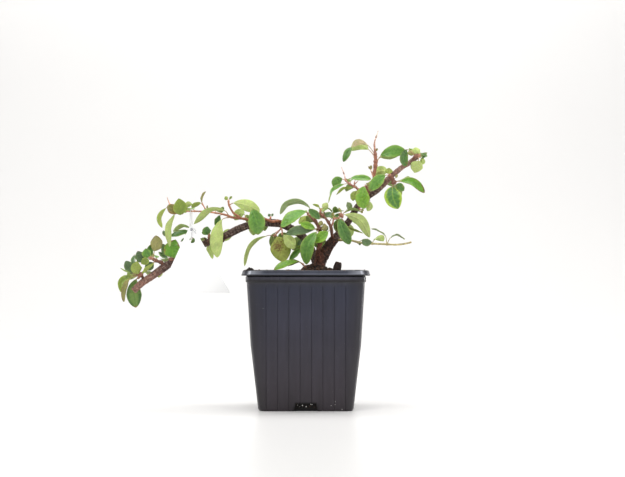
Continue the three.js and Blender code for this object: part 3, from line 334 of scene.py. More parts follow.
def add_material(name, roughness, layers, base=None, values=None):
    """A material in the points' own tint, or in a base colour, with layers of noise over it.

    Each layer gives the noise's scale, in features for each metre, and its detail, and what it changes:
    shade, how much darker and lighter it makes the colour; blotch, a colour that shows where the noise is
    between two values; rough, the lowest and highest roughness; bump, its strength and its depth in metres.
    """
    made = bpy.data.materials.new(name)
    made.use_nodes = True
    nodes, links = made.node_tree.nodes, made.node_tree.links
    shader = nodes["Principled BSDF"]
    skin, normal = shader.inputs["Base Color"], shader.inputs["Normal"]
    for socket, value in {"Roughness": roughness, **(values or {})}.items():
        shader.inputs[socket].default_value = value
    if base:
        skin.default_value = (*base, 1.0)
    else:
        tint = nodes.new("ShaderNodeVertexColor")
        tint.layer_name = "tint"
        links.new(tint.outputs["Color"], skin)

    def remapped(value, low, high, span=NOISE_SPAN):
        ranged = nodes.new("ShaderNodeMapRange")
        for socket, bound in zip(("From Min", "From Max", "To Min", "To Max"), (*span, low, high)):
            ranged.inputs[socket].default_value = bound
        links.new(value, ranged.inputs["Value"])
        return ranged.outputs["Result"]

    def mixed_in():
        """A new mix between the colour so far and another."""
        blend = nodes.new("ShaderNodeMix")
        blend.data_type = "RGBA"
        if skin.is_linked:
            links.new(skin.links[0].from_socket, blend.inputs[MIX_FIRST])
        else:
            blend.inputs[MIX_FIRST].default_value = skin.default_value
        links.new(blend.outputs[MIX_OUT], skin)
        return blend

    for layer in layers:
        vector = nodes.new("ShaderNodeTexCoord").outputs["Object"]
        if "stretch" in layer:
            mapping = nodes.new("ShaderNodeMapping")
            mapping.inputs["Scale"].default_value = layer["stretch"]
            links.new(vector, mapping.inputs["Vector"])
            vector = mapping.outputs["Vector"]
        texture = nodes.new("ShaderNodeTexNoise")
        texture.inputs["Scale"].default_value = layer["scale"]
        texture.inputs["Detail"].default_value = layer["detail"]
        links.new(vector, texture.inputs["Vector"])
        value = texture.outputs["Fac"]
        if "shade" in layer:
            blend = mixed_in()
            blend.blend_type = "MULTIPLY"
            blend.inputs[MIX_SHARE].default_value = 1.0
            links.new(remapped(value, *layer["shade"]), blend.inputs[MIX_SECOND])
        if "blotch" in layer:
            tint, *span = layer["blotch"]
            blend = mixed_in()
            links.new(remapped(value, 0.0, 1.0, span), blend.inputs[MIX_SHARE])
            blend.inputs[MIX_SECOND].default_value = (*tint, 1.0)
        if "rough" in layer:
            links.new(remapped(value, *layer["rough"]), shader.inputs["Roughness"])
        if "bump" in layer:
            bump = nodes.new("ShaderNodeBump")
            for socket, amount in zip(("Strength", "Distance"), layer["bump"]):
                bump.inputs[socket].default_value = amount
            links.new(value, bump.inputs["Height"])
            if normal.is_linked:
                links.new(normal.links[0].from_socket, bump.inputs["Normal"])
            links.new(bump.outputs["Normal"], normal)
    return made


def glow(strength):
    """The shader values of a surface that gives back a little more light than falls on it."""
    return {"Emission Color": (1.0, 1.0, 1.0, 1.0), "Emission Strength": strength}


def add_leaf_material(name, low, high, subsurface, bump):
    return add_material(name, (low + high) / 2, [
        {"scale": 2300, "detail": 3, "bump": (bump, 0.00012)},
        {"scale": 1300, "detail": 4, "shade": (0.88, 1.12), "bump": (bump, 0.0002)},
        {"scale": 170, "detail": 4, "shade": (0.86, 1.14), "rough": (low, high)},
    ], values={
        "Subsurface Weight": subsurface, "Subsurface Radius": (0.5, 1.0, 0.15), "Subsurface Scale": 0.0008,
        "Specular IOR Level": 0.5,
    })


POT_PLASTIC = add_material("charcoal_plastic", 0.4, [
    {"scale": 26, "detail": 3, "shade": (0.86, 1.12), "rough": (0.26, 0.4)},
    {"scale": 2600, "detail": 2, "bump": (0.16, 0.00012)},
    {"scale": 210, "detail": 3, "stretch": (1.0, 1.0, 0.02), "shade": (0.86, 1.16), "bump": (0.1, 0.0004)},
    {"scale": 900, "detail": 2, "blotch": (colour(104, 100, 98), 0.72, 0.86)},
], values={"Specular IOR Level": 0.38})
SOIL = add_material("potting_soil", 0.95, [
    {"scale": 1300, "detail": 6, "shade": (0.4, 1.9), "rough": (0.78, 1.0), "bump": (1.0, 0.0008)},
    {"scale": 420, "detail": 5, "blotch": (colour(104, 70, 46), 0.6, 0.78)},
])
BARK = add_material("bark", 0.84, [
    {"scale": 520, "detail": 6, "shade": (0.5, 1.6), "rough": (0.66, 0.92), "bump": (0.8, 0.0007)},
    {"scale": 2400, "detail": 4, "shade": (0.7, 1.35), "bump": (0.6, 0.0002)},
])
TWIG = add_material("young_bark", 0.55, [
    {"scale": 800, "detail": 5, "shade": (0.62, 1.35), "rough": (0.42, 0.66), "bump": (0.5, 0.0003)},
    {"scale": 2600, "detail": 3, "bump": (0.4, 0.00012)},
])
LEAF_TOP = add_leaf_material("leaf_upper_side", 0.26, 0.4, 0.12, 0.3)
LEAF_UNDER = add_leaf_material("leaf_underside", 0.6, 0.8, 0.16, 0.4)
# The card glows faintly, painted light that keeps it as white as the backdrop
CARD = add_material("card", 0.6, [
    {"scale": 1600, "detail": 5, "shade": (0.975, 1.01), "rough": (0.5, 0.68), "bump": (0.25, 0.00008)},
], base=(0.99, 0.99, 0.985), values=glow(0.06))
STRING = add_material("string", 0.85, [
    {"scale": 3000, "detail": 4, "shade": (0.82, 1.08), "rough": (0.75, 0.95), "bump": (0.5, 0.0001)},
])
PERLITE = add_material("perlite", 0.8, [
    {"scale": 1800, "detail": 5, "shade": (0.75, 1.05), "rough": (0.7, 0.95), "bump": (0.8, 0.0003)},
], base=(0.8, 0.79, 0.76))


# String, knot and card

STRING_ROUTE = [
    [-101.2, -10.4, 158.4], [-101.2, -10.2, 161], [-101.3, -8.4, 165], [-101.3, -6.6, 169],
    [-101.4, -5.5, 171.2], [-101.3, -5, 173], [-101, -3.9, 173.7], [-100.6, -2.8, 173.1],
    [-100.2, -2.5, 171.6], [-100.1, -3.6, 168.6], [-100, -5.4, 165], [-99.7, -7, 161],
    [-99.6, -7.3, 155], [-99.6, -7.6, 150.2], [-99.6, -8.3, 147.9], [-99.6, -9.8, 147.9],
    [-99.8, -10.5, 150], [-99.9, -10.6, 153.4],
]
STRING_STEPS = 150
STRING_DIAMETER = 0.7
STRING_SIDES = 12
# Turns of the two plies in a millimetre, and how much thinner the string is between them
PLY_TURNS = 0.55
PLY_WAIST = 0.14
STRING_WHITE = colour(206, 206, 206)
# Grey painted shade on the white string: on the knot's turns, partly on the stretch over them, and on one in
# three tail fibres
KNOT_PAINTED_SHADE = colour(158, 160, 166)
KNOT = np.array([-100.0, -10.9, 156.0])
KNOT_SEED = 5
# The turns of the knot: height over its middle, how far it leans, and half its width
KNOT_TURNS = [(-0.75, 0.3, 0.8), (0.0, -0.35, 0.9), (0.75, 0.25, 0.78)]
# Half its thickness from front to back, and how far a turn waves up and down
KNOT_THICK, KNOT_WAVE = 0.62, 0.18
KNOT_STRING = 0.62
KNOT_STEPS, BRIDGE_STEPS = 30, 26
# The stretch of string that lies over the turns, from the middle of the knot
KNOT_BRIDGE = [
    [-0.35, -0.3, 1.25], [-0.45, -0.72, 0.7], [0.05, -0.78, 0.0], [0.45, -0.7, -0.7], [0.4, -0.2, -1.25],
]
BRIDGE_STRING = 0.6
# The two loose ends, as seen from the front
TAILS = [
    [[-99.6, -11, 156], [-98.4, -11.2, 155], [-97, -11.2, 152.8]],
    [[-99.8, -11, 156.4], [-98.2, -11.5, 156.6], [-96.8, -11.5, 155.2]],
]
TAIL_STRING = 0.55
# A tail is 24 points long, and its loose fibres leave it from the sixteenth
TAIL_POINTS, TAIL_FRAYS, TAIL_FIBRES = 24, 15, 9
# How far the fibres spread, how unevenly they lie, and their radius from foot to tip
FIBRE_SPREAD, FIBRE_WANDER, FIBRE_RADIUS = 0.32, 0.03, (0.1, 0.05)

TAG_CORNERS = np.array([(-100.2, 161.8), (-128.5, 100.5), (-66.0, 100.5)])
TAG_CORNER_RADIUS = 1.6
TAG_BACK = -8.6
TAG_THICKNESS = 0.7
TAG_HOLE = np.array([-99.5, 146.5])
TAG_HOLE_RADIUS = 2.5
TAG_BEND_STEPS, TAG_SIDE_STEPS, TAG_HOLE_STEPS = 9, 30, 40
# How far the worn edges are worn back: on the faces and on the sides
TAG_WEAR = (0.14, 0.16)
# The points between which the faces of the card are filled in, and how clear of the hole they are
TAG_FILL = {"x": (-127, -66), "z": (102, 161), "pitch": 2.2, "clear": 3.46}
# Edges sharper than this stay sharp
CREASE = math.radians(50)


def twisted(surface, path, diameter, tint):
    """Two plies twisted round each other along a path."""
    out, angle = spokes(path, STRING_SIDES)
    spin = gone_along(path) * PLY_TURNS * 2 * np.pi
    waist = 1 - PLY_WAIST + PLY_WAIST * np.cos(2 * (angle[None, :] - spin[:, None]))
    surface.grid(path[:, None] + out * (0.5 * diameter * waist)[..., None], tint)


def tag_outline():
    """The card's outline: three softened corners with points along the sides between them."""
    corners = list(TAG_CORNERS)
    bends = [
        softened(corners[i - 1], corners[i], corners[(i + 1) % 3], TAG_CORNER_RADIUS, TAG_BEND_STEPS)
        for i in range(3)
    ]
    outline = []
    for bend, following in zip(bends, bends[1:] + bends[:1]):
        outline += [bend, np.linspace(bend[-1], following[0], TAG_SIDE_STEPS)[1:-1]]
    return np.vstack(outline)


def tag_hole(radius):
    turn = np.linspace(0, 2 * np.pi, TAG_HOLE_STEPS, endpoint=False)
    return TAG_HOLE + radius * np.stack([np.cos(turn), np.sin(turn)], axis=-1)


def tag_face(inner, wide):
    """Triangles between the outline of a face and the rim of the hole in it, and their points."""
    fill = [
        (x, z) for x in np.arange(*TAG_FILL["x"], TAG_FILL["pitch"])
        for z in np.arange(*TAG_FILL["z"], TAG_FILL["pitch"])
        if np.hypot(x - TAG_HOLE[0], z - TAG_HOLE[1]) > TAG_FILL["clear"]
    ]
    edges = []
    for first, count in ((0, len(inner)), (len(inner), len(wide))):
        edges += [(first + i, first + (i + 1) % count) for i in range(count)]
    points = [Vector(p) for p in np.vstack([inner, wide, fill])]
    flat, _, faces, *_ = delaunay_2d_cdt(points, edges, [], 1, 0.001)
    flat = np.array([tuple(p) for p in flat])
    faces = np.array([list(face) for face in faces])
    away = np.linalg.norm(flat[faces].mean(axis=1) - TAG_HOLE, axis=1)
    return flat, faces[away > TAG_HOLE_RADIUS]


def make_tag():
    """The card: a triangle with softened corners, a punched hole and slightly worn edges."""
    worn_in, worn_down = TAG_WEAR
    outline = tag_outline()
    inner = outline + unit(outline.mean(axis=0) - outline) * worn_in
    hole, wide = tag_hole(TAG_HOLE_RADIUS), tag_hole(TAG_HOLE_RADIUS + worn_in)
    flat, faces = tag_face(inner, wide)
    front, back = TAG_BACK - TAG_THICKNESS, TAG_BACK
    surface = Surface()

    def sheet(pairs, y):
        return np.column_stack([pairs[:, 0], np.full(len(pairs), y), pairs[:, 1]])

    surface.add(sheet(flat, front), [faces], WHITE)
    surface.add(sheet(flat, back), [faces[:, ::-1]], WHITE)
    for wall, soft, turned in ((outline, inner, -1), (hole, wide, 1)):
        rings = [
            sheet(soft, front), sheet(wall, front + worn_down), sheet(wall, back - worn_down),
            sheet(soft, back),
        ]
        for ring, following in zip(rings, rings[1:]):
            surface.add(np.vstack([ring, following]), [ring_faces(2, len(wall))[:, ::turned]], WHITE)
    data = surface.mesh("tag_card")
    data.set_sharp_from_angle(angle=CREASE)
    return piece("tag_card", data, [CARD], ["tag"])


def make_knot():
    """Turns of string drawn tight round each other, with two frayed tails."""
    surface = Surface()
    turn = np.linspace(0, 2 * np.pi, KNOT_STEPS)
    # The turns of the knot are coloured with painted shade
    for height, lean, size in KNOT_TURNS:
        rise = height + lean * np.cos(turn) + KNOT_WAVE * np.sin(2 * turn)
        loop = KNOT + np.stack([size * np.cos(turn), KNOT_THICK * np.sin(turn), rise], axis=-1)
        twisted(surface, loop, KNOT_STRING, KNOT_PAINTED_SHADE)
    # The stretch over the turns is partly coloured with painted shade
    bridge, _ = evenly(KNOT + np.array(KNOT_BRIDGE), BRIDGE_STEPS)
    twisted(surface, bridge, BRIDGE_STRING, mixed(KNOT_PAINTED_SHADE, STRING_WHITE, 0.4))
    random = np.random.default_rng(KNOT_SEED)
    spread_out = np.linspace(0, 1, TAIL_POINTS - TAIL_FRAYS)[:, None] ** 1.6
    for tail in TAILS:
        path, _ = evenly(placed(tail), TAIL_POINTS)
        twisted(surface, path[:TAIL_FRAYS + 2], TAIL_STRING, STRING_WHITE)
        for fibre in range(TAIL_FIBRES):
            spread = random.normal(0, FIBRE_SPREAD, 3)
            line = path[TAIL_FRAYS:] + spread * spread_out + random.normal(0, FIBRE_WANDER, 3)
            # One fibre in three is coloured with painted shade
            tint = KNOT_PAINTED_SHADE if fibre % 3 == 0 else STRING_WHITE
            tube(surface, line, np.linspace(*FIBRE_RADIUS, len(line)), 5, tint)
    return piece("tag_knot_turns", surface.mesh("tag_knot_turns"), [STRING], ["tag_knot"])


def make_string_cord(knot, card):
    """The string runs from its knot over the twig, down behind the card and out through the hole."""
    path, length = evenly(STRING_ROUTE, STRING_STEPS)
    surface = Surface()
    twisted(surface, path, STRING_DIAMETER, STRING_WHITE)
    made = piece("tag_string_line", surface.mesh("tag_string_line"), [STRING], ["tag_string"])


make_string_cord(make_knot(), make_tag())


# Pot

# The radius of the corners, as a share of half the pot's width
CORNER_SHARE = 0.15
CORNER_STEPS = 13
# The shares of a groove's pitch at which the flat wall beside it has points
FLAT_PLACES = (0.25, 0.5, 0.75)
GROOVES = 8
GROOVE_PITCH = 9.68
# Across a groove: how far from its middle, and the share of its depth there
GROOVE_SHAPE = [(-0.9, 0.0), (-0.5, 0.22), (-0.2, 0.78), (0.0, 1.0), (0.2, 0.78), (0.5, 0.22), (0.9, 0.0)]
GROOVE_DEPTH = 0.55
# Where the grooves end, and the height over which they run out
GROOVE_TOP, GROOVE_FADE = 109.2, 3.0
# How far the grooves stay clear of the corner, and how they crowd together there
CLEAR, CROWD, CROWD_FALL = 0.4, 0.35, 0.8
# From the middle of the underside up the outside, over the lip and down inside: [half, height, rounding]
POT_PROFILE = [
    [20, 0, 0], [39.8, 0, 0.5], [41.0, 2, 0.6], [47.2, 56, 0], [50.3, 107, 1.2], [50.4, 110, 0.3],
    [51.4, 110.8, 0.3], [51.4, 115, 0.25], [50.7, 115.4, 0.15], [50.7, 118.4, 0.3], [54.3, 115.9, 0.3],
    [55, 116.2, 0.35], [53.9, 120.0, 0.35], [53.4, 120.4, 0.3], [49.52, 120.4, 0.45], [48.6, 109, 0],
    [45.5, 56, 0], [39.9, 2, 0.8], [20, 2, 0],
]
# How long the steps of the section are above each height
PROFILE_STEPS = [(110, 0.5), (100, 1.0), (-1, 6.0)]
# The outer wall is further out than this, and the section reaches the lip's top here
OUTSIDE_HALF, LIP_TOP = 40, 119.9
# The gap under the turned-down lip, which is coloured black as painted shade
LIP_GAP = {"low": 115.2, "high": 118.8, "half": 54}
NOTCH = {"top": 17.5, "bottom": 20.0, "height": 6.8, "depth": 5.0}
WALL_SLOPE = 0.1
POT_BEVEL = 0.25
POT_CREASE = math.radians(38)
# The plastic's colour at each height, bluer higher up and warmer towards the foot, with painted shade
# under the collar and under the lip and a painted highlight on the lip's lower edge: [height, red, green,
# blue]
PLASTIC = [
    [0, 45, 39, 44], [26, 47, 42, 50], [60, 46, 44, 55], [104, 43, 45, 60], [107, 44, 46, 59],
    [109.4, 50, 50, 60], [110.2, 54, 55, 59], [110.7, 26, 26, 28], [111.8, 38, 37, 40],
    [112.6, 58, 57, 64], [113.6, 72, 71, 82], [114.8, 76, 75, 87], [115.9, 10, 11, 14],
    [116.7, 20, 21, 26], [117.1, 88, 91, 102], [117.9, 74, 78, 90], [118.6, 52, 55, 66],
    [120, 52, 54, 66],
]
PLASTIC_HEIGHTS = [row[0] for row in PLASTIC]
PLASTIC_COLOURS = np.array([colour(*row[1:]) for row in PLASTIC])
PLASTIC_CORNER = colour(37, 35, 37)
PLASTIC_SHADE = colour(8, 8, 10)
# How much painted shade darkens the bottom of a groove
GROOVE_SHADE = 0.12
# A painted glint on the lip's corners: colour, heights, place round the corner, and width of the mark
LIP_PAINTED_GLINT = colour(196, 200, 210)
PAINTED_GLINT = {"low": 117, "high": 120, "place": 0.872, "width": 0.022, "share": 0.9}


def rounded_profile():
    """The pot's section with its corners softened, in steps short enough for the grooves."""
    corners = np.array(POT_PROFILE, float)
    out = [corners[:1, :2]]
    for before, (*here, radius), after in zip(corners[:, :2], corners[1:], corners[2:, :2]):
        here = np.array(here)
        if radius == 0:
            out.append(here[None])
            continue
        room = min(np.linalg.norm(before - here), np.linalg.norm(after - here))
        out.append(softened(before, here, after, min(radius, 0.45 * room), 5))
    out = np.vstack([*out, corners[-1:, :2]])
    dense = [out[0]]
    for start, finish in zip(out, out[1:]):
        step = next(length for height, length in PROFILE_STEPS if finish[1] > height)
        for t in np.linspace(0, 1, int(np.linalg.norm(finish - start) // step) + 2)[1:]:
            dense.append((1 - t) * start + t * finish)
    return np.array(dense)


def square_ring(half, depth):
    """A square with rounded corners, walked once round from the front left, and how deep it is grooved."""
    radius = half * CORNER_SHARE
    straight = half - radius
    across = [-straight]
    dent = [0.0]
    for groove in range(GROOVES):
        middle = (groove - (GROOVES - 1) / 2) * GROOVE_PITCH
        across += [middle + offset for offset, _ in GROOVE_SHAPE]
        dent += [share for _, share in GROOVE_SHAPE]
        if groove < GROOVES - 1:
            across += [middle + GROOVE_PITCH * share for share in FLAT_PLACES]
            dent += [0.0] * len(FLAT_PLACES)
    across = np.array([*across, straight])
    dent = np.array([*dent, 0.0])
    # Near the foot the outermost grooves are drawn in to stay clear of the corner
    limit = straight - CLEAR
    inner = across[1:-1]
    crowded = limit + CROWD * (1 - np.exp(-(np.abs(inner) - limit) / CROWD_FALL))
    across[1:-1] = np.where(np.abs(inner) > limit, np.sign(inner) * crowded, inner)
    bend = np.linspace(-np.pi / 2, 0, CORNER_STEPS)[1:-1]
    side = np.stack([across, depth * dent - half], axis=-1)
    corner = np.stack([straight + radius * np.cos(bend), -straight + radius * np.sin(bend)], axis=-1)
    quarter = np.vstack([side, corner])
    ring = np.vstack([quarter @ quarter_turn(quarters)[:2, :2].T for quarters in range(4)])
    return ring, np.tile(np.concatenate([dent, np.zeros(len(bend))]), 4)


def pot_tint(ring, height, dent, under_lip):
    """The colour of one ring of the pot: painted shade in the grooves and under the lip, darker at the
    corners, and a painted glint on the lip's corners.
    """
    # The gap under the lip is painted black as shade
    if under_lip:
        return np.broadcast_to(PLASTIC_SHADE, (len(ring), 3))
    base = np.array([np.interp(height, PLASTIC_HEIGHTS, PLASTIC_COLOURS[:, k]) for k in range(3)])
    cornered = np.abs(ring).min(axis=1) / np.abs(ring).max()
    tint = mixed(np.broadcast_to(base, (len(ring), 3)), PLASTIC_CORNER, 0.6 * smooth((cornered - 0.7) / 0.25))
    tint = mixed(tint, PLASTIC_SHADE, GROOVE_SHADE * dent)
    # A painted glint where the lip turns round its corners
    if PAINTED_GLINT["low"] < height < PAINTED_GLINT["high"]:
        tint = mixed(tint, LIP_PAINTED_GLINT, PAINTED_GLINT["share"] * peak(cornered - PAINTED_GLINT["place"], PAINTED_GLINT["width"]))
    return tint


def notch_bars():
    """Four flat bars that go through the foot of each wall."""
    cutter = Surface()
    low, high, top = NOTCH["bottom"] / 2, NOTCH["top"] / 2, NOTCH["height"]
    shape = [(-low, -1), (low, -1), (low, 0), (high, top), (-high, top), (-low, 0)]
    wall = -POT_PROFILE[2][0]
    for quarters in range(4):
        ends = [
            np.array([[x, y, z] for x, z in shape]) @ quarter_turn(quarters).T
            for y in (wall + NOTCH["depth"], wall - NOTCH["depth"])
        ]
        cutter.grid(ends, PLASTIC_SHADE)
    return helper_object("notch_bars", cutter.mesh("notch_bars"))


def darken_notches(data):
    """The cut edges of the notches are in the shade."""
    points = points_of(data)
    layer = data.color_attributes["tint"].data
    tint = np.empty(4 * len(points), np.float32)
    layer.foreach_get("color", tint)
    tint = tint.reshape(-1, 4)
    height = points[:, 2]
    away = np.abs(points[:, :2]).max(axis=1)
    across = np.abs(points[:, :2]).min(axis=1)
    behind = away < POT_PROFILE[2][0] + height * WALL_SLOPE - 0.15
    cut = behind & (height < NOTCH["height"] + 0.3) & (across < NOTCH["bottom"] / 2 + 0.3)
    # New points can come out of the cut with no colour, which is white
    untinted = (tint[:, 0] > 0.9) | ((tint[:, 0] > 0.2) & (height < NOTCH["height"] + 3))
    tint[cut | untinted, :3] = PLASTIC_SHADE
    layer.foreach_set("color", tint.ravel())


def make_pot():
    profile = rounded_profile()
    lip = np.argmax(profile[:, 1] >= LIP_TOP)
    rows = []
    tints = []
    for i, (half, height) in enumerate(profile):
        grooved = i < lip and half > OUTSIDE_HALF
        share = float(smooth((GROOVE_TOP - height) / GROOVE_FADE)) if grooved else 0.0
        ring, dent = square_ring(half, GROOVE_DEPTH * share)
        rows.append(np.column_stack([ring, np.full(len(ring), height)]))
        under_lip = i < lip and LIP_GAP["low"] < height < LIP_GAP["high"] and half < LIP_GAP["half"]
        tints.append(pot_tint(ring, height, dent * share, under_lip))
    surface = Surface()
    surface.grid(rows, tints)
    bars = notch_bars()
    pot = piece("pot_shell", surface.mesh("pot_shell"), [POT_PLASTIC], ["pot"])
    cut = pot.modifiers.new("notches", "BOOLEAN")
    cut.operation = "DIFFERENCE"
    cut.solver = "EXACT"
    cut.object = bars
    soft = pot.modifiers.new("soft_edges", "BEVEL")
    soft.width = POT_BEVEL * MM
    soft.segments = 2
    soft.limit_method = "ANGLE"
    soft.angle_limit = CREASE
    shown = worked_mesh(pot)
    pot.modifiers.clear()
    pot.data = shown
    bpy.data.objects.remove(bars)
    shown.set_sharp_from_angle(angle=POT_CREASE)
    darken_notches(shown)


# Soil

MOUND = {"x": 9.0, "y": 0.0, "height": 5.2, "radius": 13.0}
RIPPLE = {"height": 0.6, "across_x": 0.31, "across_y": 0.27}
SOIL_LEVEL = 117.0
# How far out the soil reaches at each height: [half, height]
SOIL_SIDES = np.array([[39.6, 2.3], [45.2, 56], [48.3, 109]])
SOIL_ROWS = [2.3, 56, 75, 92, 109]
SOIL_HALF = 48.9
SOIL_AROUND = 220
# The unevenness of the soil's top: height, features in a millimetre, and seed
SOIL_BUMPS = [(0.75, 0.23, 3), (0.5, 0.6, 4), (0.28, 1.5, 5)]
# Where the soil is seen only through the notches it is darker: painted shade
SOIL_INSIDE = {"below": 60, "shade": 0.25}
# [x, y, size] of the largest crumbs that are set, and how the others are drawn
BIG_CRUMBS = [[-44.5, -27, 4.4], [-42, 10, 3], [-10, -30, 3.2]]
CRUMBS = {"count": 9, "spread": 80, "smallest": 1.8, "largest": 3.2, "squash": 0.8, "share": 0.98}
DRAW = {"first": 7, "times": 1664525, "plus": 1013904223, "whole": 2 ** 32}
# [x, y, radius] where the wood stands in the soil
TRUNK_FOOT = (10.8, 0.0, 6.6)
STUB_FOOT = (27.2, -6.0, 4.2)
# Fine crumbs over all the soil, of two sizes, which stay inside the wall
FINE = {"spread": 48, "small": (0.5, 1.6), "large": (1.6, 2.6), "small_share": 0.85, "wall": 48.2}
# The heap against the trunk: where it starts, how far it reaches and how high it rises
HEAP = {"from": 5.2, "reach": 11.0, "rise": 2.6, "size": (0.6, 1.9)}
CHIPS = {"spread": 44, "size": (1.6, 4.2), "narrow": 0.45, "thick": 0.55, "lift": 0.9}
THREADS = {"spread": 42, "near": (8, 17), "length": (3, 10), "bend": 1.2, "wall": 47, "lift": 0.9}
GRAIN = {"spread": 45, "size": (0.5, 1.3), "clear": 1.5, "lift": 0.6}
# The shade share darkens the black crumbs behind the notches as painted shade
BEHIND_NOTCH = {
    "across": 8.4, "height": (2.8, 6.2), "white_share": 0.2, "white": (0.3, 0.7), "black": (0.5, 1.1),
    "shade": 0.3,
}
# How much a crumb is stretched in each direction, and how its colour varies
STRETCH = (0.6, 1.1)
SHADE_SPREAD, SHADE_LIMITS = 0.3, (0.45, 1.8)
SOIL_SEED = 11
SOIL_BLACK = colour(34, 26, 22)
PEAT_BROWN = colour(84, 57, 41)
# Crumbs that were spilled on the rim of the pot: [x, y, height of the middle, radius]
SPILLED = [
    [-50.6, -51.4, 120.5, 1.0], [-48.9, -51.6, 120.9, 1.5], [-47.0, -51.3, 121.1, 1.6],
    [-45.2, -51.6, 120.7, 1.3], [-47.9, -51.0, 122.3, 1.0], [-44.2, -50.9, 120.2, 0.8],
    [-46.0, -50.6, 121.9, 0.9], [-52.1, -50.4, 120.3, 0.7], [-9.6, -51.2, 120.3, 0.8],
    [-12.3, -51.5, 120.4, 0.9], [50.8, -20, 120.3, 0.8], [-51.5, 14, 120.4, 0.9], [12, 51.4, 120.5, 1.1],
    [14.4, 51, 120.3, 0.8],
]
# White dust on the front wall: [x, height, size]
DUST = [[21.6, 5.0, 0.3], [25.0, 5.8, 0.28], [25.3, 8.4, 0.22], [31.0, 1.8, 0.34], [-36.2, 88.0, 0.2]]
# Numbers of the materials of the soil's piece
EARTH, GRAINS = 0, 1


def soil_height(x, y):
    away = ((x - MOUND["x"]) ** 2 + (y - MOUND["y"]) ** 2) / MOUND["radius"] ** 2
    ripple = RIPPLE["height"] * np.sin(x * RIPPLE["across_x"]) * np.cos(y * RIPPLE["across_y"])
    return SOIL_LEVEL + MOUND["height"] * np.exp(-away) + ripple


def icosphere(level):
    shape = bmesh.new()
    bmesh.ops.create_icosphere(shape, subdivisions=level, radius=1.0)
    points = np.array([tuple(v.co) for v in shape.verts])
    faces = np.array([[v.index for v in f.verts] for f in shape.faces])
    shape.free()
    return points, faces


BALL = {level: icosphere(level) for level in (1, 2, 3)}


def lump(surface, centre, size, level, random, tint, finish=EARTH, rough=0.5):
    """A crumb: a ball pushed in and out by noise, turned and stretched at random."""
    points, faces = BALL[level]
    turned = np.linalg.qr(random.normal(size=(3, 3)))[0]
    if np.linalg.det(turned) < 0:
        turned[:, 0] *= -1
    swell = 1 + rough * grain(points, 1.7, random.uniform(0, 50))
    shaped = (points * swell[:, None] * np.asarray(size)) @ turned.T + np.asarray(centre)
    shade = np.clip(1 + SHADE_SPREAD * random.normal(), *SHADE_LIMITS)
    surface.add(shaped, [faces], np.clip(tint * shade, 0, 1), finish)


def anywhere(random, spread):
    """A place on the soil, at most this far from its middle along each side."""
    return random.uniform(-spread, spread, 2)


def clear_of_wood(x, y, size):
    return all(np.hypot(x - px, y - py) > r + size * 0.4 for px, py, r in (TRUNK_FOOT, STUB_FOOT))


def soil_ring(half):
    """Evenly spread points round the soil where it is this wide."""
    walked, _ = square_ring(half, 0.0)
    closed = np.vstack([walked, walked[:1]])
    gone = gone_along(closed)
    at = np.linspace(0, gone[-1], SOIL_AROUND, endpoint=False)
    return np.stack([np.interp(at, gone, closed[:, k]) for k in (0, 1)], axis=-1)


def add_soil_body(surface):
    """The body of soil, with an uneven top."""
    rows = []
    for height in SOIL_ROWS:
        flat = soil_ring(np.interp(height, SOIL_SIDES[:, 1], SOIL_SIDES[:, 0]))
        rows.append(np.column_stack([flat, np.full(len(flat), height)]))
    for share in np.linspace(1, 0.012, 58):
        flat = soil_ring(SOIL_HALF * share)
        points = np.column_stack([flat, soil_height(flat[:, 0], flat[:, 1])])
        lift = sum(height * grain(points, scale, seed) for height, scale, seed in SOIL_BUMPS)
        rows.append(points + np.array([0, 0, 1]) * lift[:, None])
    rows = np.array(rows)
    shade = 1 + 0.35 * grain(rows, 0.4, 9)
    # The lower rows, seen through the notches, get painted shade
    shade = shade * np.where(rows[..., 2] < SOIL_INSIDE["below"], SOIL_INSIDE["shade"], 1.0)
    surface.grid(rows, SOIL_BLACK * shade[..., None])


def add_large_crumbs(surface, random):
    """The large crumbs, some where they were set and the rest from one seeded row of numbers."""
    state = DRAW["first"]

    def drawn():
        nonlocal state
        state = (state * DRAW["times"] + DRAW["plus"]) % DRAW["whole"]
        return state / DRAW["whole"]

    crumbs = list(BIG_CRUMBS)
    while len(crumbs) < CRUMBS["count"]:
        x, y = [(drawn() - 0.5) * CRUMBS["spread"] for _ in range(2)]
        crumbs.append([x, y, CRUMBS["smallest"] + (CRUMBS["largest"] - CRUMBS["smallest"]) * drawn()])
    for x, y, size in crumbs:
        if clear_of_wood(x, y, size):
            shape = np.array([1, 1, CRUMBS["squash"]]) * size * CRUMBS["share"]
            lump(surface, [x, y, soil_height(x, y)], shape, 3, random, SOIL_BLACK, rough=0.35)


def add_crumbs(surface, random, count):
    """Fine crumbs all over the soil, which stay inside the wall."""
    for _ in range(count):
        x, y = anywhere(random, FINE["spread"])
        size = random.uniform(*FINE["small" if random.random() < FINE["small_share"] else "large"])
        if not clear_of_wood(x, y, size) or max(abs(x), abs(y)) > FINE["wall"] - 0.8 * size:
            continue
        tint = mixed(SOIL_BLACK, PEAT_BROWN, random.uniform(0, 1) ** 2.5)
        lump(surface, [x, y, soil_height(x, y) + size * 0.35], size * random.uniform(*STRETCH, 3),
             2 if size > 1.5 else 1, random, tint)


def round_trunk(angle, away):
    """A place on the soil at a distance from the middle of the trunk's foot."""
    return TRUNK_FOOT[0] + away * np.cos(angle), away * np.sin(angle)


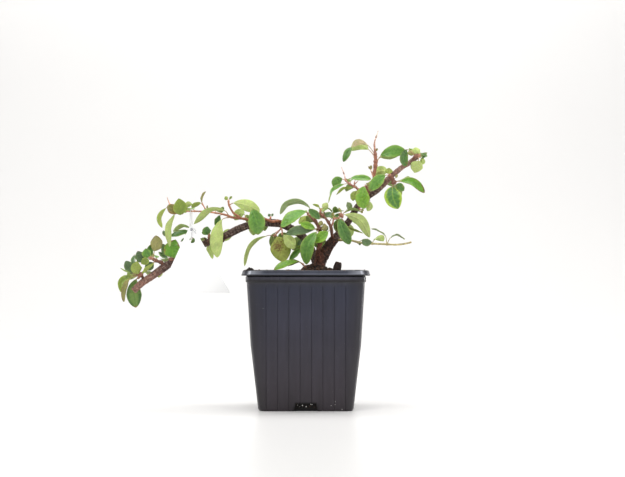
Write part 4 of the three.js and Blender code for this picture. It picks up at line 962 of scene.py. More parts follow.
def add_heap(surface, random, count):
    """Crumbs heaped up against the foot of the trunk."""
    for _ in range(count):
        angle = random.uniform(0, 2 * np.pi)
        away = HEAP["from"] + HEAP["reach"] * random.uniform(0, 1) ** 1.4
        x, y = round_trunk(angle, away)
        size = random.uniform(*HEAP["size"])
        if np.hypot(x - STUB_FOOT[0], y - STUB_FOOT[1]) < STUB_FOOT[2] + 0.4 * size:
            continue
        rise = random.uniform(0, 1) * HEAP["rise"] * (1 - (away - HEAP["from"]) / HEAP["reach"])
        tint = mixed(SOIL_BLACK, PEAT_BROWN, random.uniform(0, 1) ** 1.6)
        lump(surface, [x, y, soil_height(x, y) + 0.3 * size + rise], size * random.uniform(*STRETCH, 3),
             2 if size > 1.2 else 1, random, tint)


def add_chips(surface, random, count):
    """Flat chips of bark."""
    for _ in range(count):
        x, y = anywhere(random, CHIPS["spread"])
        size = random.uniform(*CHIPS["size"])
        if clear_of_wood(x, y, size):
            shape = [size, size * CHIPS["narrow"], CHIPS["thick"]]
            lump(surface, [x, y, soil_height(x, y) + CHIPS["lift"]], shape, 2, random,
                 PEAT_BROWN * random.uniform(0.4, 1.1), rough=0.3)


def add_fibres(surface, random, count):
    """Bent threads of peat; one in three lies near the trunk."""
    steps = np.linspace(-0.5, 0.5, 9)
    for k in range(count):
        if k % 3 == 0:
            x, y = round_trunk(random.uniform(0, 2 * np.pi), random.uniform(*THREADS["near"]))
        else:
            x, y = anywhere(random, THREADS["spread"])
        heading = random.uniform(0, 2 * np.pi)
        length = random.uniform(*THREADS["length"])
        bend = random.normal(0, THREADS["bend"])
        line_x = x + np.cos(heading) * steps * length - np.sin(heading) * bend * steps ** 2 * 4
        line_y = y + np.sin(heading) * steps * length + np.cos(heading) * bend * steps ** 2 * 4
        clear = all(clear_of_wood(a, b, 1) for a, b in zip(line_x, line_y))
        if max(np.abs(line_x).max(), np.abs(line_y).max()) > THREADS["wall"] or not clear:
            continue
        line_z = soil_height(line_x, line_y) + THREADS["lift"] + 0.5 * np.cos(steps * 5)
        radii = 0.22 * np.sin((steps + 0.56) * 2.8) + 0.06
        tube(surface, np.column_stack([line_x, line_y, line_z]), radii, 5,
             PEAT_BROWN * random.uniform(0.9, 1.6))


def add_perlite(surface, random, count):
    """White grains of perlite, half sunk in the soil."""
    for _ in range(count):
        x, y = anywhere(random, GRAIN["spread"])
        if clear_of_wood(x, y, GRAIN["clear"]):
            lump(surface, [x, y, soil_height(x, y) + GRAIN["lift"]], random.uniform(*GRAIN["size"], 3), 2,
                 random, WHITE, GRAINS)


def add_notch_crumbs(surface, random, count):
    """What shows of the soil through the notches: black crumbs and white grains."""
    for quarters in range(4):
        for _ in range(count):
            across = random.uniform(-BEHIND_NOTCH["across"], BEHIND_NOTCH["across"])
            height = random.uniform(*BEHIND_NOTCH["height"])
            half = np.interp(height, SOIL_SIDES[:, 1], SOIL_SIDES[:, 0])
            place = quarter_turn(quarters) @ [across, -half, height]
            if random.random() < BEHIND_NOTCH["white_share"]:
                size = random.uniform(*BEHIND_NOTCH["white"]) * random.uniform(0.7, 1.2, 3)
                lump(surface, place, size, 2, random, WHITE, GRAINS)
            else:
                size = random.uniform(*BEHIND_NOTCH["black"]) * random.uniform(0.7, 1.2, 3)
                # The black crumbs here get painted shade
                lump(surface, place, size, 1, random, SOIL_BLACK * BEHIND_NOTCH["shade"])


def make_soil_fill():
    random = np.random.default_rng(SOIL_SEED)
    surface = Surface()
    add_soil_body(surface)
    add_large_crumbs(surface, random)
    add_crumbs(surface, random, count=1150)
    add_heap(surface, random, count=420)
    add_chips(surface, random, count=46)
    add_fibres(surface, random, count=90)
    add_perlite(surface, random, count=34)
    add_notch_crumbs(surface, random, count=26)
    for x, y, height, size in SPILLED:
        lump(surface, [x, y, height], size * np.array([1.0, 0.9, 0.85]), 2, random, SOIL_BLACK)
    outer_wall = np.array(POT_PROFILE[1:5])
    for x, height, size in DUST:
        wall = np.interp(height, outer_wall[:, 1], outer_wall[:, 0])
        lump(surface, [x, -wall, height], size * np.array([1.0, 0.7, 1.0]), 2, random, WHITE, GRAINS)
    piece("soil_fill", surface.mesh("soil_fill"), [SOIL, PERLITE], ["soil"])


make_pot()
make_soil_fill()


# Wood

# Each stem as seen from the front: [x, y, z, radius] along it
WOOD = {
    "trunk": [
        [10.5, 0, 92, 3], [10.5, 0, 112, 5], [10.8, 0, 121, 6.3], [12.4, 0, 127, 5.2], [15.6, 0, 133, 4.8],
        [18.6, 0.5, 139, 4.6], [22.4, 1, 144.5, 4.4], [26.8, 2, 149.5, 4],
    ],
    "right": [
        [24, 1.5, 146.5, 3.9], [29.5, 2, 153, 3.3], [33.3, 3, 157.5, 3], [38, 3, 164, 2.8],
        [41.5, 3, 170, 2.8], [45.5, 3, 176.5, 2.8], [50.5, 3, 181.5, 2.7], [56, 2.5, 186, 2.6],
        [61, 1, 189.3, 2.5], [66, 0, 193.7, 2.5], [70.5, -0.5, 198.5, 2.7], [75.5, -1, 203.7, 2.4],
        [80, -1, 207.3, 2.3], [85, 0, 211.3, 2.2], [90, 1, 214, 2.1], [94, 2, 217.2, 2.1], [98, 3, 219.8, 2],
    ],
    "left": [
        [11.5, 1, 122, 4.2], [7, 3, 132, 3.8], [2.5, 4, 143, 3.5], [-3, 5, 150, 3.4], [-9, 5, 154.5, 3.4],
        [-16, 5, 158.5, 3.4], [-23, 4.5, 161.3, 3.4], [-30, 4, 162, 3.5], [-40, 4, 162, 3.3],
        [-49, 4, 160.2, 3.3], [-55, 4, 158.3, 3.3], [-61, 4, 155.7, 3.4], [-67, 4.5, 152.6, 3.3],
        [-73, 5, 149.6, 3.2], [-80, 5.5, 146.8, 3.1], [-87.5, 6, 144.3, 3.1], [-96, 6, 140.5, 3],
        [-104, 6, 136, 3], [-112, 5.5, 131, 3], [-119, 5, 126.8, 3.2], [-124, 5, 123.2, 3.6],
        [-130, 5, 119, 3.4], [-137, 4.5, 114, 3.2], [-143, 4, 110, 3.1], [-148, 3.5, 105.8, 3],
        [-151.8, 3, 102, 2.9],
    ],
    "second": [
        [11.5, -1.5, 125, 3], [10.5, -4, 132, 2.4], [10.8, -5, 138, 2.2], [12.3, -5.5, 143.5, 2.1],
        [12.6, -5.5, 149, 1.9], [12.3, -5.5, 153, 1.7],
    ],
    "flare": [[11, 0, 121, 4.5], [4, -1, 122.4, 3.2], [-1, -1, 121.8, 2.4], [-6, -1, 116, 1.8]],
    "spur_below": [[-72.5, 4, 149, 1.4], [-72.6, 1.5, 145, 0.8]],
    "spur_above": [[-87.5, 5, 145, 1.2], [-89.4, 2.6, 149.6, 0.5]],
}
STEM_SIDES = 28
STEM_STEP = 0.6
# The size of the skin's faces, and how many times it is relaxed
SKIN_GRAIN, SKIN_ROUNDS = 0.46, 3
STUB = [[26, -6, 104, 3], [27.2, -6, 121, 3.5], [28.8, -6, 127.4, 3]]
# The stub's sides round the top of its bark, and the rings of its cut face: how far on, and how wide
STUB_WORN = [0.97, 0.93, 0.84]
STUB_CUT = [(0.12, 2.1), (-0.05, 1.4), (-0.3, 0.6)]
STUB_STEPS, STUB_SIDES = 44, 40
STUB_BARK = colour(39, 22, 17)
STUB_RIM = colour(66, 46, 38)
STUB_FACE = colour(80, 56, 45)
# The bark of each stem: colour at its start, colour at its end, depth of its relief in millimetres, and how
# fast that relief changes along the stem
BARK_KINDS = {
    "trunk": (colour(58, 36, 29), colour(66, 44, 36), 0.62, 0.5),
    "right": (colour(66, 44, 38), colour(132, 96, 84), 0.3, 1.0),
    "left": (colour(64, 44, 38), colour(132, 94, 80), 0.3, 0.45),
    "second": (colour(92, 54, 40), colour(122, 76, 56), 0.26, 0.5),
    "flare": (colour(84, 56, 42), colour(74, 50, 38), 0.5, 0.6),
    "spur_below": (colour(74, 52, 44), colour(84, 60, 50), 0.2, 0.8),
    "spur_above": (colour(84, 58, 48), colour(104, 74, 60), 0.14, 0.8),
}
# How far along a stem its end colour takes over, and over what share of it
BARK_TURN = {"right": 0.62, "left": 0.86}
BARK_TURN_MIDDLE, BARK_TURN_SPAN = 0.5, 0.16
# Stems with younger bark, which has rings and pores and only shallow cracks, and which end in a cut
YOUNG_STEMS = ("left", "right")
YOUNG_CRACKS, YOUNG_MOTTLE = 0.35, 0.5
BARK_CRACK = colour(22, 14, 11)
BARK_SHRED = colour(124, 78, 56)
BARK_GREY = colour(150, 130, 118)
FRESH_CUT = colour(176, 128, 104)
# Knobs where twigs once grew, as seen from the front: [x, y, z, height]
KNOBS = [
    [-8, 1.5, 156, 0.7], [-27, 2, 159, 0.6], [-36, 1, 165, 0.8], [-46, 0.8, 158, 0.6], [-60, 1, 158.4, 0.8],
    [-71, 1.6, 152.7, 0.6], [-90, 3, 145.6, 0.7], [-106, 3, 137.6, 0.7], [-123, 2, 127, 0.9],
    [-127, 2, 117, 0.7], [-140, 1.5, 115, 0.6], [16, -4, 137, 0.9], [13, -4.6, 127.5, 0.8],
    [22, -3.5, 141, 0.8], [35.5, 0, 163, 0.7], [47, 0, 180.3, 0.7], [58, -1.5, 190.6, 0.6],
    [71.5, -3, 199.5, 1.0], [82, -3, 205.6, 0.6], [88, -1, 215.5, 0.5],
]
KNOB_RADIUS, KNOB_HEIGHT = 1.7, 0.75


def centre_lines():
    """Every stem's middle line in short steps, with its direction, length gone and radius."""
    lines = {}
    for name, stations in WOOD.items():
        path = placed_stem(stations)
        steps = int(np.linalg.norm(path[-1, :3] - path[0, :3]) / STEM_STEP)
        samples, length = evenly(path, max(steps, 8))
        lines[name] = (samples, directions(samples), np.linspace(0, length, len(samples)))
    return lines


def remeshed_wood(lines):
    """All stems grown together into one skin of even small faces."""
    surface = Surface()
    for samples, _, _ in lines.values():
        tube(surface, samples, samples[:, 3], STEM_SIDES, WHITE)
    raw = helper_object("wood_stems", surface.mesh("wood_stems"))
    skin = raw.modifiers.new("skin", "REMESH")
    skin.mode = "VOXEL"
    skin.voxel_size = SKIN_GRAIN * MM
    grown = worked_mesh(raw)
    bpy.data.objects.remove(raw)
    return grown


def relaxed(points, edges, rounds):
    """Draws each point halfway to the middle of its neighbours, a number of times."""
    for _ in range(rounds):
        total = np.zeros_like(points)
        count = np.zeros(len(points))
        for a, b in ((0, 1), (1, 0)):
            np.add.at(total, edges[:, a], points[edges[:, b]])
            np.add.at(count, edges[:, a], 1)
        points = points * 0.5 + 0.5 * total / count[:, None]
    return points


def beside_stems(points, lines):
    """For each point of the skin the nearest place on a stem, and how the point lies beside it."""
    samples = np.vstack([line for line, _, _ in lines.values()])
    along = np.vstack([heading for _, heading, _ in lines.values()])
    gone = np.concatenate([length for _, _, length in lines.values()])
    stem = np.concatenate([np.full(len(length), k) for k, (_, _, length) in enumerate(lines.values())])
    tree = kdtree.KDTree(len(samples))
    for i, sample in enumerate(samples):
        tree.insert(Vector(sample[:3]), i)
    tree.balance()
    nearest = np.array([tree.find(Vector(p))[1] for p in points])
    along = along[nearest]
    spoke = points - samples[nearest, :3]
    spoke = spoke - along * (spoke * along).sum(axis=1, keepdims=True)
    away = np.linalg.norm(spoke, axis=1)
    return {
        "stem": stem[nearest], "along": along, "gone": gone[nearest], "radius": samples[nearest, 3],
        "away": away, "outward": spoke / np.maximum(away, 1e-6)[:, None],
    }


def bark_fields(points, place, stretch, young):
    """The noises that the bark's relief and its colour share."""
    # Drawn out along the stem: the part of the place along the stem counts for less
    along_part = place["along"] * (points * place["along"]).sum(axis=1, keepdims=True)
    grainy = (points - along_part) + along_part * stretch[:, None]
    cracks = 1 - np.abs(grain(grainy, 0.9, 2)) * 2
    return {
        "grainy": grainy, "plates": grain(grainy, 0.55, 1), "fine": grain(grainy, 2.1, 3),
        "crack": smooth((cracks - 0.62) / 0.28) * np.where(young, YOUNG_CRACKS, 1.0),
    }


def bark_rings(points, gone):
    """Uneven rings round a young stem, from -1 between them to 1 on them."""
    return np.sin(gone * 1.9 + 2.5 * grain(points, 0.25, 4))


def bark_push(points, fields, gone, young):
    """How far the bark stands out at each point, in shares of its relief, and how far the knobs do."""
    rings = np.maximum(0, bark_rings(points, gone) - 0.72) * 2.2
    height = fields["plates"] * 0.7 - fields["crack"] * 0.9 + fields["fine"] * 0.45
    knobs = np.zeros(len(points))
    for x, y, z, size in KNOBS:
        away = np.linalg.norm(points - placed([[x, y, z]])[0], axis=1)
        knobs += peak(away, KNOB_RADIUS) * size * KNOB_HEIGHT
    return height + np.where(young, rings * 0.8, 0), knobs


def bark_tint(points, fields, gone, ground, young):
    """The bark's colour: cracks, shreds on the old stems, and grey, pores and rings on the young ones."""
    mottled = (0.42 * fields["plates"] + 0.3 * fields["fine"]) * np.where(young, YOUNG_MOTTLE, 1.0)
    tint = mixed(ground * (1 + mottled)[:, None], BARK_CRACK, fields["crack"] * 0.75)
    shred = smooth((grain(fields["grainy"] * [1, 1, 0.8], 1.1, 11) - 0.2) / 0.2) * ~young
    grey = smooth((grain(points, 0.5, 6) - 0.1) / 0.25) * young
    pores = smooth((grain(fields["grainy"], 1.5, 8) - 0.34) / 0.12) * young
    ringed = smooth((bark_rings(points, gone) - 0.5) / 0.4) * young
    for over, share in (
        (BARK_SHRED, shred * 0.55), (BARK_GREY, grey * 0.22), (BARK_GREY * 1.2, pores * 0.5),
        (BARK_GREY, ringed * 0.25),
    ):
        tint = mixed(tint, over, share)
    return tint


def make_wood():
    lines = centre_lines()
    names = list(lines)
    skin = remeshed_wood(lines)
    edges = np.empty(len(skin.edges) * 2, int)
    skin.edges.foreach_get("vertices", edges)
    points = relaxed(points_of(skin), edges.reshape(-1, 2), SKIN_ROUNDS)
    place = beside_stems(points, lines)
    stem = place["stem"]
    young = np.isin(stem, [names.index(name) for name in YOUNG_STEMS])
    first, last, relief, stretch = (
        np.array([BARK_KINDS[name][k] for name in names])[stem] for k in range(4)
    )
    turn = np.array([BARK_TURN.get(name, BARK_TURN_MIDDLE) for name in names])[stem]
    whole = np.array([lines[name][2][-1] for name in names])[stem]
    ground = mixed(first, last, smooth((place["gone"] / whole - turn) / BARK_TURN_SPAN + 0.5))
    fields = bark_fields(points, place, stretch, young)
    height, knobs = bark_push(points, fields, place["gone"], young)
    # The two branches end in a cut, which is flat and has rings in its fresh wood
    ends = np.zeros(len(points), bool)
    for name in YOUNG_STEMS:
        line, heading, _ = lines[name]
        beyond = points - line[-1, :3]
        depth = beyond @ heading[-1]
        radius = np.linalg.norm(beyond - depth[:, None] * heading[-1], axis=1)
        ends |= (depth > -0.5) & (radius < line[-1, 3] * 1.3)
    push = np.where(ends, 0.1 * fields["fine"], relief * height + knobs)
    points = points + place["outward"] * push[:, None]
    tint = bark_tint(points, fields, place["gone"], ground, young)
    cut_rings = 0.5 + 0.5 * np.cos(place["away"] * 5.5 + grain(points, 0.8, 7) * 2)
    inside = ends & (place["away"] < place["radius"] * 0.86)
    tint = np.where(inside[:, None], FRESH_CUT * (0.72 + 0.28 * cut_rings)[:, None], tint)
    skin.vertices.foreach_set("co", (points * MM).astype(np.float32).ravel())
    skin.polygons.foreach_set("use_smooth", np.ones(len(skin.polygons), bool))
    paint(skin, np.clip(tint, 0.002, 1))
    skin.update()
    piece("wood_bark", skin, [BARK], ["wood"])


def make_stub():
    """The dead stub, with a rough cut across its top."""
    path, _ = evenly(placed_stem(STUB), STUB_STEPS)
    out, _ = spokes(path, STUB_SIDES)
    out = np.vstack([out, np.repeat(out[-1:], len(STUB_CUT), axis=0)])
    onward = directions(path)[-1]
    middle = np.vstack([path[:, :3], *(path[-1, :3] + onward * beyond for beyond, _ in STUB_CUT)])
    radii = np.append(path[:, 3], [wide for _, wide in STUB_CUT])
    radii[STUB_STEPS - len(STUB_WORN):STUB_STEPS] *= STUB_WORN
    rows = middle[:, None] + out * radii[:, None, None]
    lift = grain(rows * [1, 1, 0.45], 0.8, 12) * 0.4 + grain(rows, 2.0, 13) * 0.16
    shade = 1 + 0.3 * grain(rows, 1.1, 15)[..., None]
    rows = rows + out * lift[..., None] * np.minimum(radii, 3)[:, None, None] / 3
    rows[-5:, :, 2] += 0.35 * grain(rows[-5:], 0.9, 14)
    tint = np.array([*[STUB_BARK] * (STUB_STEPS - 1), STUB_RIM, *[STUB_FACE] * len(STUB_CUT)])
    surface = Surface()
    surface.grid(rows, np.clip(tint[:, None] * shade, 0, 1))
    piece("stub_bark", surface.mesh("stub_bark"), [BARK], ["stub"])


make_wood()
make_stub()


# Leafy shoots

# Directions that the upper side of a leaf looks in
FRONT = [0, -1, 0]
BACK = [0, 1, 0]
UP = [0, 0, 1]
FRONT_UP = [0, -0.8, 0.6]
BACK_UP = [0, 0.5, 0.87]
LEFT_UP = [-0.75, 0.35, 0.55]
LEFT = [-0.85, 0.45, 0.2]
RIGHT_UP = [0.5, 0, 0.87]

# Colours of a leaf: the middle and the edge of its upper side, and its underside
LEAF_TINTS = {
    "fresh": [(86, 136, 53), (130, 168, 72), (178, 190, 116)],
    "deep": [(65, 105, 45), (104, 138, 64), (148, 160, 96)],
    "olive": [(112, 132, 50), (132, 148, 60), (154, 166, 82)],
    "grey": [(86, 110, 72), (106, 130, 84), (156, 170, 120)],
    "pale": [(120, 147, 67), (146, 166, 80), (184, 196, 122)],
    "bright": [(98, 148, 36), (142, 178, 62), (184, 200, 118)],
    "patched": [(116, 146, 74), (66, 106, 50), (150, 160, 96)],
    "edged": [(68, 112, 48), (150, 180, 56), (160, 176, 90)],
    "bronze": [(118, 122, 54), (158, 124, 78), (152, 146, 92)],
    "scorched": [(84, 138, 30), (118, 156, 42), (166, 184, 96)],
    "spotted": [(118, 140, 52), (140, 152, 64), (180, 187, 90)],
    "twisted": [(70, 112, 44), (96, 132, 56), (206, 186, 148)],
}
# Leaves whose two upper colours meet in a clear line, and those with brown on their edge or underside
TWO_COLOURED = ("patched", "edged")
BROWN_EDGED = ("bronze", "scorched")
BROWN_SPOTTED = ("spotted",)
LEAF_BROWN = colour(112, 74, 42)
LEAF_MARGIN = colour(176, 178, 92)
TIP_BROWN = colour(140, 98, 58)
STALK_GREEN = colour(150, 146, 84)
BUD_FOOT = colour(140, 86, 66)
BUD_TIP = colour(226, 182, 156)
# The colours of a twig: its old bark, its young bark, and its tip
TWIG_COLOURS = [(110, 70, 54), (196, 138, 112), (196, 138, 112)]
TWIG_TINTS = {
    "shoot_above_tag": [(140, 86, 58), (192, 134, 104), (208, 152, 120)],
    "twig_bare": [(144, 126, 78), (192, 180, 124), (176, 150, 104)],
    "shoot_upright": [(152, 100, 78), (208, 160, 138), (238, 222, 204)],
    "shoot_upper_left": [(108, 62, 50), (196, 140, 120), (232, 200, 184)],
    "shoot_tip_left": [(112, 70, 52), (168, 112, 88), (190, 140, 112)],
}
# Numbers of the materials of a shoot's piece
UPPER_SIDE, UNDERSIDE, STALK = 0, 1, 2

# Each shoot has its twigs, [x, y, z, radius] along each, and its leaves: the tint, the blade's width, the
# way its upper side looks, and the points of its midrib from the twig over the blade's base to the tip.
# Where a blade is twisted, it has two ways: at its base and at its tip.
SHOOTS = {
    "shoot_tip_left": ([
        [[-142.5, 4, 110.5, 1.5], [-143.8, 4.3, 114.5, 1.4], [-146, 3.5, 116.5, 1.1]],
    ], [
        ["patched", 13.5, FRONT, [-144.8, 4.3, 115.2], [-149, 9, 112.5], [-151, 11, 102],
            [-149.6, 10, 87.5]],
        ["bronze", 8, LEFT, [-145, 3.8, 115.8], [-154.5, -2, 113.2], [-159.3, -2.5, 104], [-160, -2, 92.5]],
        ["olive", 8.5, [-0.6, -0.8, 0.3], [-145.5, 4, 116], [-153, 6, 115.3], [-161.3, 7.5, 110],
            [-161.8, 7, 100.5]],
        ["grey", 8.5, FRONT, [-145.5, 4, 116.3], [-152, 6.5, 117], [-155, 8, 122.5], [-158.5, 8.5, 128.4]],
        ["deep", 4, UP, [-145.8, 3.8, 116.3], [-154, 3, 118], [-159.5, 3, 119.6], [-163.2, 3, 122.3]],
        ["olive", 9.5, BACK, [-145.8, 3.5, 116.3], [-147.2, 0.5, 117.5], [-149.3, -1.5, 122.5],
            [-148.3, -1.5, 128]],
        ["grey", 6, [-0.7, -0.6, 0.3], [-146, 3.5, 116.5], [-149.5, 6, 121.5], [-151.5, 7.5, 127.5],
            [-150.6, 8, 134.3]],
        ["fresh", 10, BACK_UP, [-145, 4.5, 115.8], [-147, 10, 118], [-151, 16, 118], [-156, 21, 112]],
        ["deep", 9, UP, [-145.5, 4.3, 116], [-143, 10, 118.5], [-139, 16, 118], [-135, 20, 113]],
    ]),
    "shoot_left": ([
        [[-125.5, 5, 123.5, 1.7], [-126.8, 3.5, 126.8, 1.6], [-131, 2.5, 128.4, 1.3], [-134.5, 2, 130, 1.1],
            [-137.5, 2, 131.3, 0.9]],
    ], [
        ["grey", 9.5, FRONT, [-137, 2, 131.2], [-141, 2.6, 129.5], [-145.5, 2.4, 132.5], [-148.3, 2.2, 137]],
        ["fresh", 8, FRONT, [-137, 2, 131.2], [-138, 0.8, 132], [-140, -0.5, 135], [-141, -0.5, 139.5]],
        ["olive", 6.5, FRONT, [-137, 2, 131.2], [-138.6, -0.8, 130], [-141, -1.6, 128.4], [-145, -2, 126]],
        ["deep", 5.6, FRONT, [-134.5, 2, 130], [-135.3, 4.5, 133.5], [-136.8, 5.5, 138.5],
            [-134.5, 5.5, 143.6]],
        ["bronze", 10.5, BACK, [-134, 2, 129.8], [-133.4, 0, 137], [-131.6, -1.5, 144], [-132, 0, 150.8]],
        ["olive", 5, LEFT_UP, [-132.5, 2.2, 129], [-133.8, -0.2, 126.5], [-138, -1.6, 122.6],
            [-144, -2.2, 117.6]],
        ["grey", 7.5, FRONT, [-132, 2.3, 128.8], [-134.2, 4, 127], [-137.5, 5.5, 124], [-141.5, 6, 120.5]],
        ["pale", 6, BACK, [-127, 3.5, 126.8], [-127.2, 10, 124.5], [-128.5, 10.8, 119], [-129.6, 10, 113.8]],
        ["fresh", 10, BACK_UP, [-131, 2.5, 128.4], [-131.5, 8, 131], [-134, 14, 134], [-138, 20, 132]],
        ["deep", 9, BACK_UP, [-128, 3.2, 127.3], [-126, 9, 129.5], [-123.5, 15, 130], [-121, 21, 126]],
        ["fresh", 8.5, UP, [-136, 2, 130.7], [-139, 7, 131.5], [-144, 12.5, 130], [-149, 16, 126]],
    ]),
    "shoot_beside_tag": ([
        [[-118.5, 5, 127, 1.5], [-118.3, 2.6, 130.4, 1.2]],
    ], [
        ["scorched", 14.5, FRONT, [-118.3, 2.6, 130], [-117.8, 1, 131.5], [-117.2, -1.5, 139],
            [-114.8, -2, 147.3]],
        ["grey", 6, FRONT, [-118.3, 2.8, 130], [-121.5, 6, 132.5], [-124.5, 8, 137.5], [-125.6, 8.5, 143.6]],
        ["grey", 5.2, FRONT_UP, [-118.3, 3, 129.6], [-121.5, 5, 130.6], [-125, 6.5, 132.3],
            [-129.5, 7, 136.3]],
        ["fresh", 10, BACK_UP, [-118.3, 3, 130], [-116.5, 8.5, 132.5], [-113, 14, 134], [-109, 20, 131]],
    ]),
    "shoot_behind_tag": ([
        [[-97, 6, 140, 1.3], [-98.5, 2, 146, 1.1], [-99.5, 0, 151.5, 0.9], [-100, -0.6, 154.5, 0.8]],
    ], [
        ["deep", 6, BACK_UP, [-99.7, -0.2, 153], [-102, -1.5, 157.3], [-109, -2.4, 158.8],
            [-117, -2, 154.3]],
        ["deep", 6.5, FRONT_UP, [-99.5, 0, 151.5], [-102, -2, 154], [-110, -3.6, 153], [-119, -3, 150.3]],
        ["deep", 6.5, FRONT, [-99, 0.8, 149.5], [-97.5, -2, 150], [-97.2, -4, 146.5], [-100.5, -4.5, 141.5]],
        ["grey", 4.5, FRONT_UP, [-98.6, 1.8, 146.5], [-101.5, 2.5, 147.3], [-106, 2.5, 147],
            [-110.2, 2, 145.5]],
        ["fresh", 9, BACK_UP, [-98.6, 1.8, 147], [-99, 8, 150], [-101, 14, 151.5], [-104, 19.5, 148]],
        ["deep", 9, BACK_UP, [-98.2, 2.6, 145], [-95, 9, 147], [-92, 14.5, 147.5], [-88, 19, 144]],
    ]),
    "shoot_above_tag": ([
        [[-20, 4, 161, 1.5], [-24, -0.4, 163.6, 1.35], [-30, -1.3, 163.2, 1.3], [-35, -1.3, 164.8, 1.3],
            [-42, -1.4, 165, 1.25], [-48, -1.6, 163.9, 1.25], [-53, -2, 165.2, 1.25], [-58, -2.5, 166, 1.3],
            [-65, -3, 166.8, 1.15], [-71, -3.5, 169, 1], [-80, -4, 170.8, 0.9], [-88, -4, 171.8, 0.9],
            [-98.5, -4, 172.2, 0.8], [-107, -4, 172.4, 0.8], [-115, -3.5, 175, 0.75],
            [-119.5, -3, 178, 0.65], [-121.7, -3, 183, 0.4]],
        [[-57, -2.4, 166, 1.2], [-60.2, -3, 168, 1.2], [-63.5, -3.5, 170.3, 1.1], [-66, -4, 174, 1],
            [-67.8, -4, 178, 1], [-68.2, -4, 181.5, 0.8]],
        [[-87.3, -4, 171.8, 0.8], [-89, -4, 175, 0.7], [-91.3, -4, 178.7, 0.6]],
    ], [
        ["fresh", 15, FRONT, [-47, -1.6, 164.1], [-47.6, -8.5, 173.6], [-43.6, -11, 164],
            [-42.2, -9.5, 151.5]],
        ["pale", 10.5, BACK, [-67.6, -4, 177.5], [-64, -4.6, 179.3], [-52, -5, 177.4], [-40.5, -4, 172]],
        ["olive", 3.6, BACK, [-68.2, -4, 181], [-69, -4.3, 182.3], [-69.9, -4.6, 183.6], [-71, -5, 185.3]],
        ["olive", 2.2, FRONT, [-68.1, -4, 181], [-67.2, -3.8, 182.6], [-66.2, -3.6, 184],
            [-65, -3.4, 185.3]],
        ["pale", 9, BACK_UP, [-68, -3.3, 168], [-71, -8, 172.4], [-83, -10.5, 173.2], [-98.6, -10.8, 160.6]],
        ["deep", 5.5, FRONT, [-71, -3.5, 169], [-75.3, -2.2, 168.6], [-77.2, -1.6, 164.5],
            [-79.7, -1.2, 159]],
        ["pale", 11.5, BACK, [-66, -3, 167], [-73.8, -6.5, 164.8], [-78.6, -8, 150], [-78, -7, 131.5]],
        ["bronze", 1.6, FRONT, [-87.3, -4, 172], [-86.9, -4, 174.2], [-86.8, -4, 175.5], [-86.6, -4, 177.4]],
        ["olive", 6, BACK_UP, [-91, -4, 178.2], [-92.3, -4.4, 179.2], [-96, -5, 177.8], [-100.8, -5, 175.4]],
        ["bronze", 5.5, LEFT, [-91, -4, 178.2], [-91.6, -4, 180], [-90.8, -4, 184.5], [-88.2, -4, 189.7]],
        ["pale", 5, BACK, [-105.5, -4, 172.4], [-106, -4.6, 175], [-103.6, -5, 178], [-100, -5, 178.4]],
        ["olive", 12, FRONT, [-107, -4, 172.4], [-108.8, -7.5, 169.6], [-110.5, -9, 176],
            [-112, -8.5, 183.5]],
        ["bronze", 8.5, FRONT, [-119.3, -3, 178], [-121.2, -4.8, 177.4], [-117, -6, 173.8],
            [-112.2, -5.6, 170.4]],
        ["olive", 6, LEFT, [-119.5, -3, 178], [-123, -3.5, 175], [-128.5, -4, 167], [-126.8, -3.6, 157.5]],
        ["pale", 5.8, BACK, [-114.5, -3.5, 174.8], [-115.5, -4.2, 170], [-121.2, -6, 158],
            [-119.8, -5.4, 141]],
        ["grey", 3, FRONT, [-120.9, -5.6, 150], [-124, -4.8, 150.3], [-125, -4.6, 152.5],
            [-125.4, -4.5, 155.3]],
        ["fresh", 9, BACK, [-52, -1.9, 165], [-54.5, 4.5, 169.5], [-58.5, 8.5, 170], [-63, 10.5, 164.5]],
        ["deep", 9.5, BACK_UP, [-80, -4, 170.8], [-79, 2, 173], [-77, 8, 174], [-74, 14, 171]],
        ["fresh", 9, UP, [-98, -4, 172.2], [-99, 1.5, 174], [-102, 7, 174.5], [-106, 12, 171]],
        ["fresh", 9, BACK_UP, [-113, -3.6, 174.3], [-113, 2, 177], [-111, 8, 178], [-107, 13, 175]],
    ]),
    "shoot_right_of_tag": ([
        [[-85.5, 5.5, 146, 1.2], [-85.3, 3.5, 149.3, 1.1], [-85, 2.5, 151.6, 0.9]],
    ], [
        ["deep", 7.5, FRONT, [-85, 2.6, 151.2], [-85.6, 1.2, 152], [-87.2, 0.5, 155], [-86.8, 0.5, 158.8]],
        ["deep", 2.6, FRONT, [-85, 2.6, 151.2], [-87.5, 2.6, 151.8], [-89.5, 2.5, 152.6],
            [-91.7, 2.4, 153.8]],
        ["pale", 5.6, BACK, [-85.3, 3.8, 149], [-85.6, 11, 145.5], [-84.8, 11, 138.5], [-82, 10, 130.3]],
        ["fresh", 10, BACK, [-85.2, 3.2, 150], [-84, 10.5, 150.5], [-80, 15, 147], [-77, 18, 138]],
    ]),
    "shoot_hanging": ([
        [[-22, 4, 159.5, 1.2], [-22.3, 1.4, 156.8, 0.9], [-24.3, 0.5, 154.5, 0.8], [-27.6, 0, 150.8, 0.9]],
        [[-22.1, 2.2, 157.6, 0.9], [-21.1, 1, 155.3, 0.8], [-21, 0.5, 151.4, 0.8]],
    ], [
        ["spotted", 17.5, BACK, [-27.4, 0, 151], [-25.8, -1.2, 149.4], [-22.4, -3, 140], [-19.5, -3, 127.2]],
        ["pale", 10, BACK, [-21, 0.5, 151.8], [-19.8, -5, 151.2], [-15, -6.8, 146.4], [-10, -6.6, 139]],
        ["pale", 9, LEFT_UP, [-27.4, 0, 151], [-35, -1, 150.4], [-48, -2, 142], [-54.2, -1, 124]],
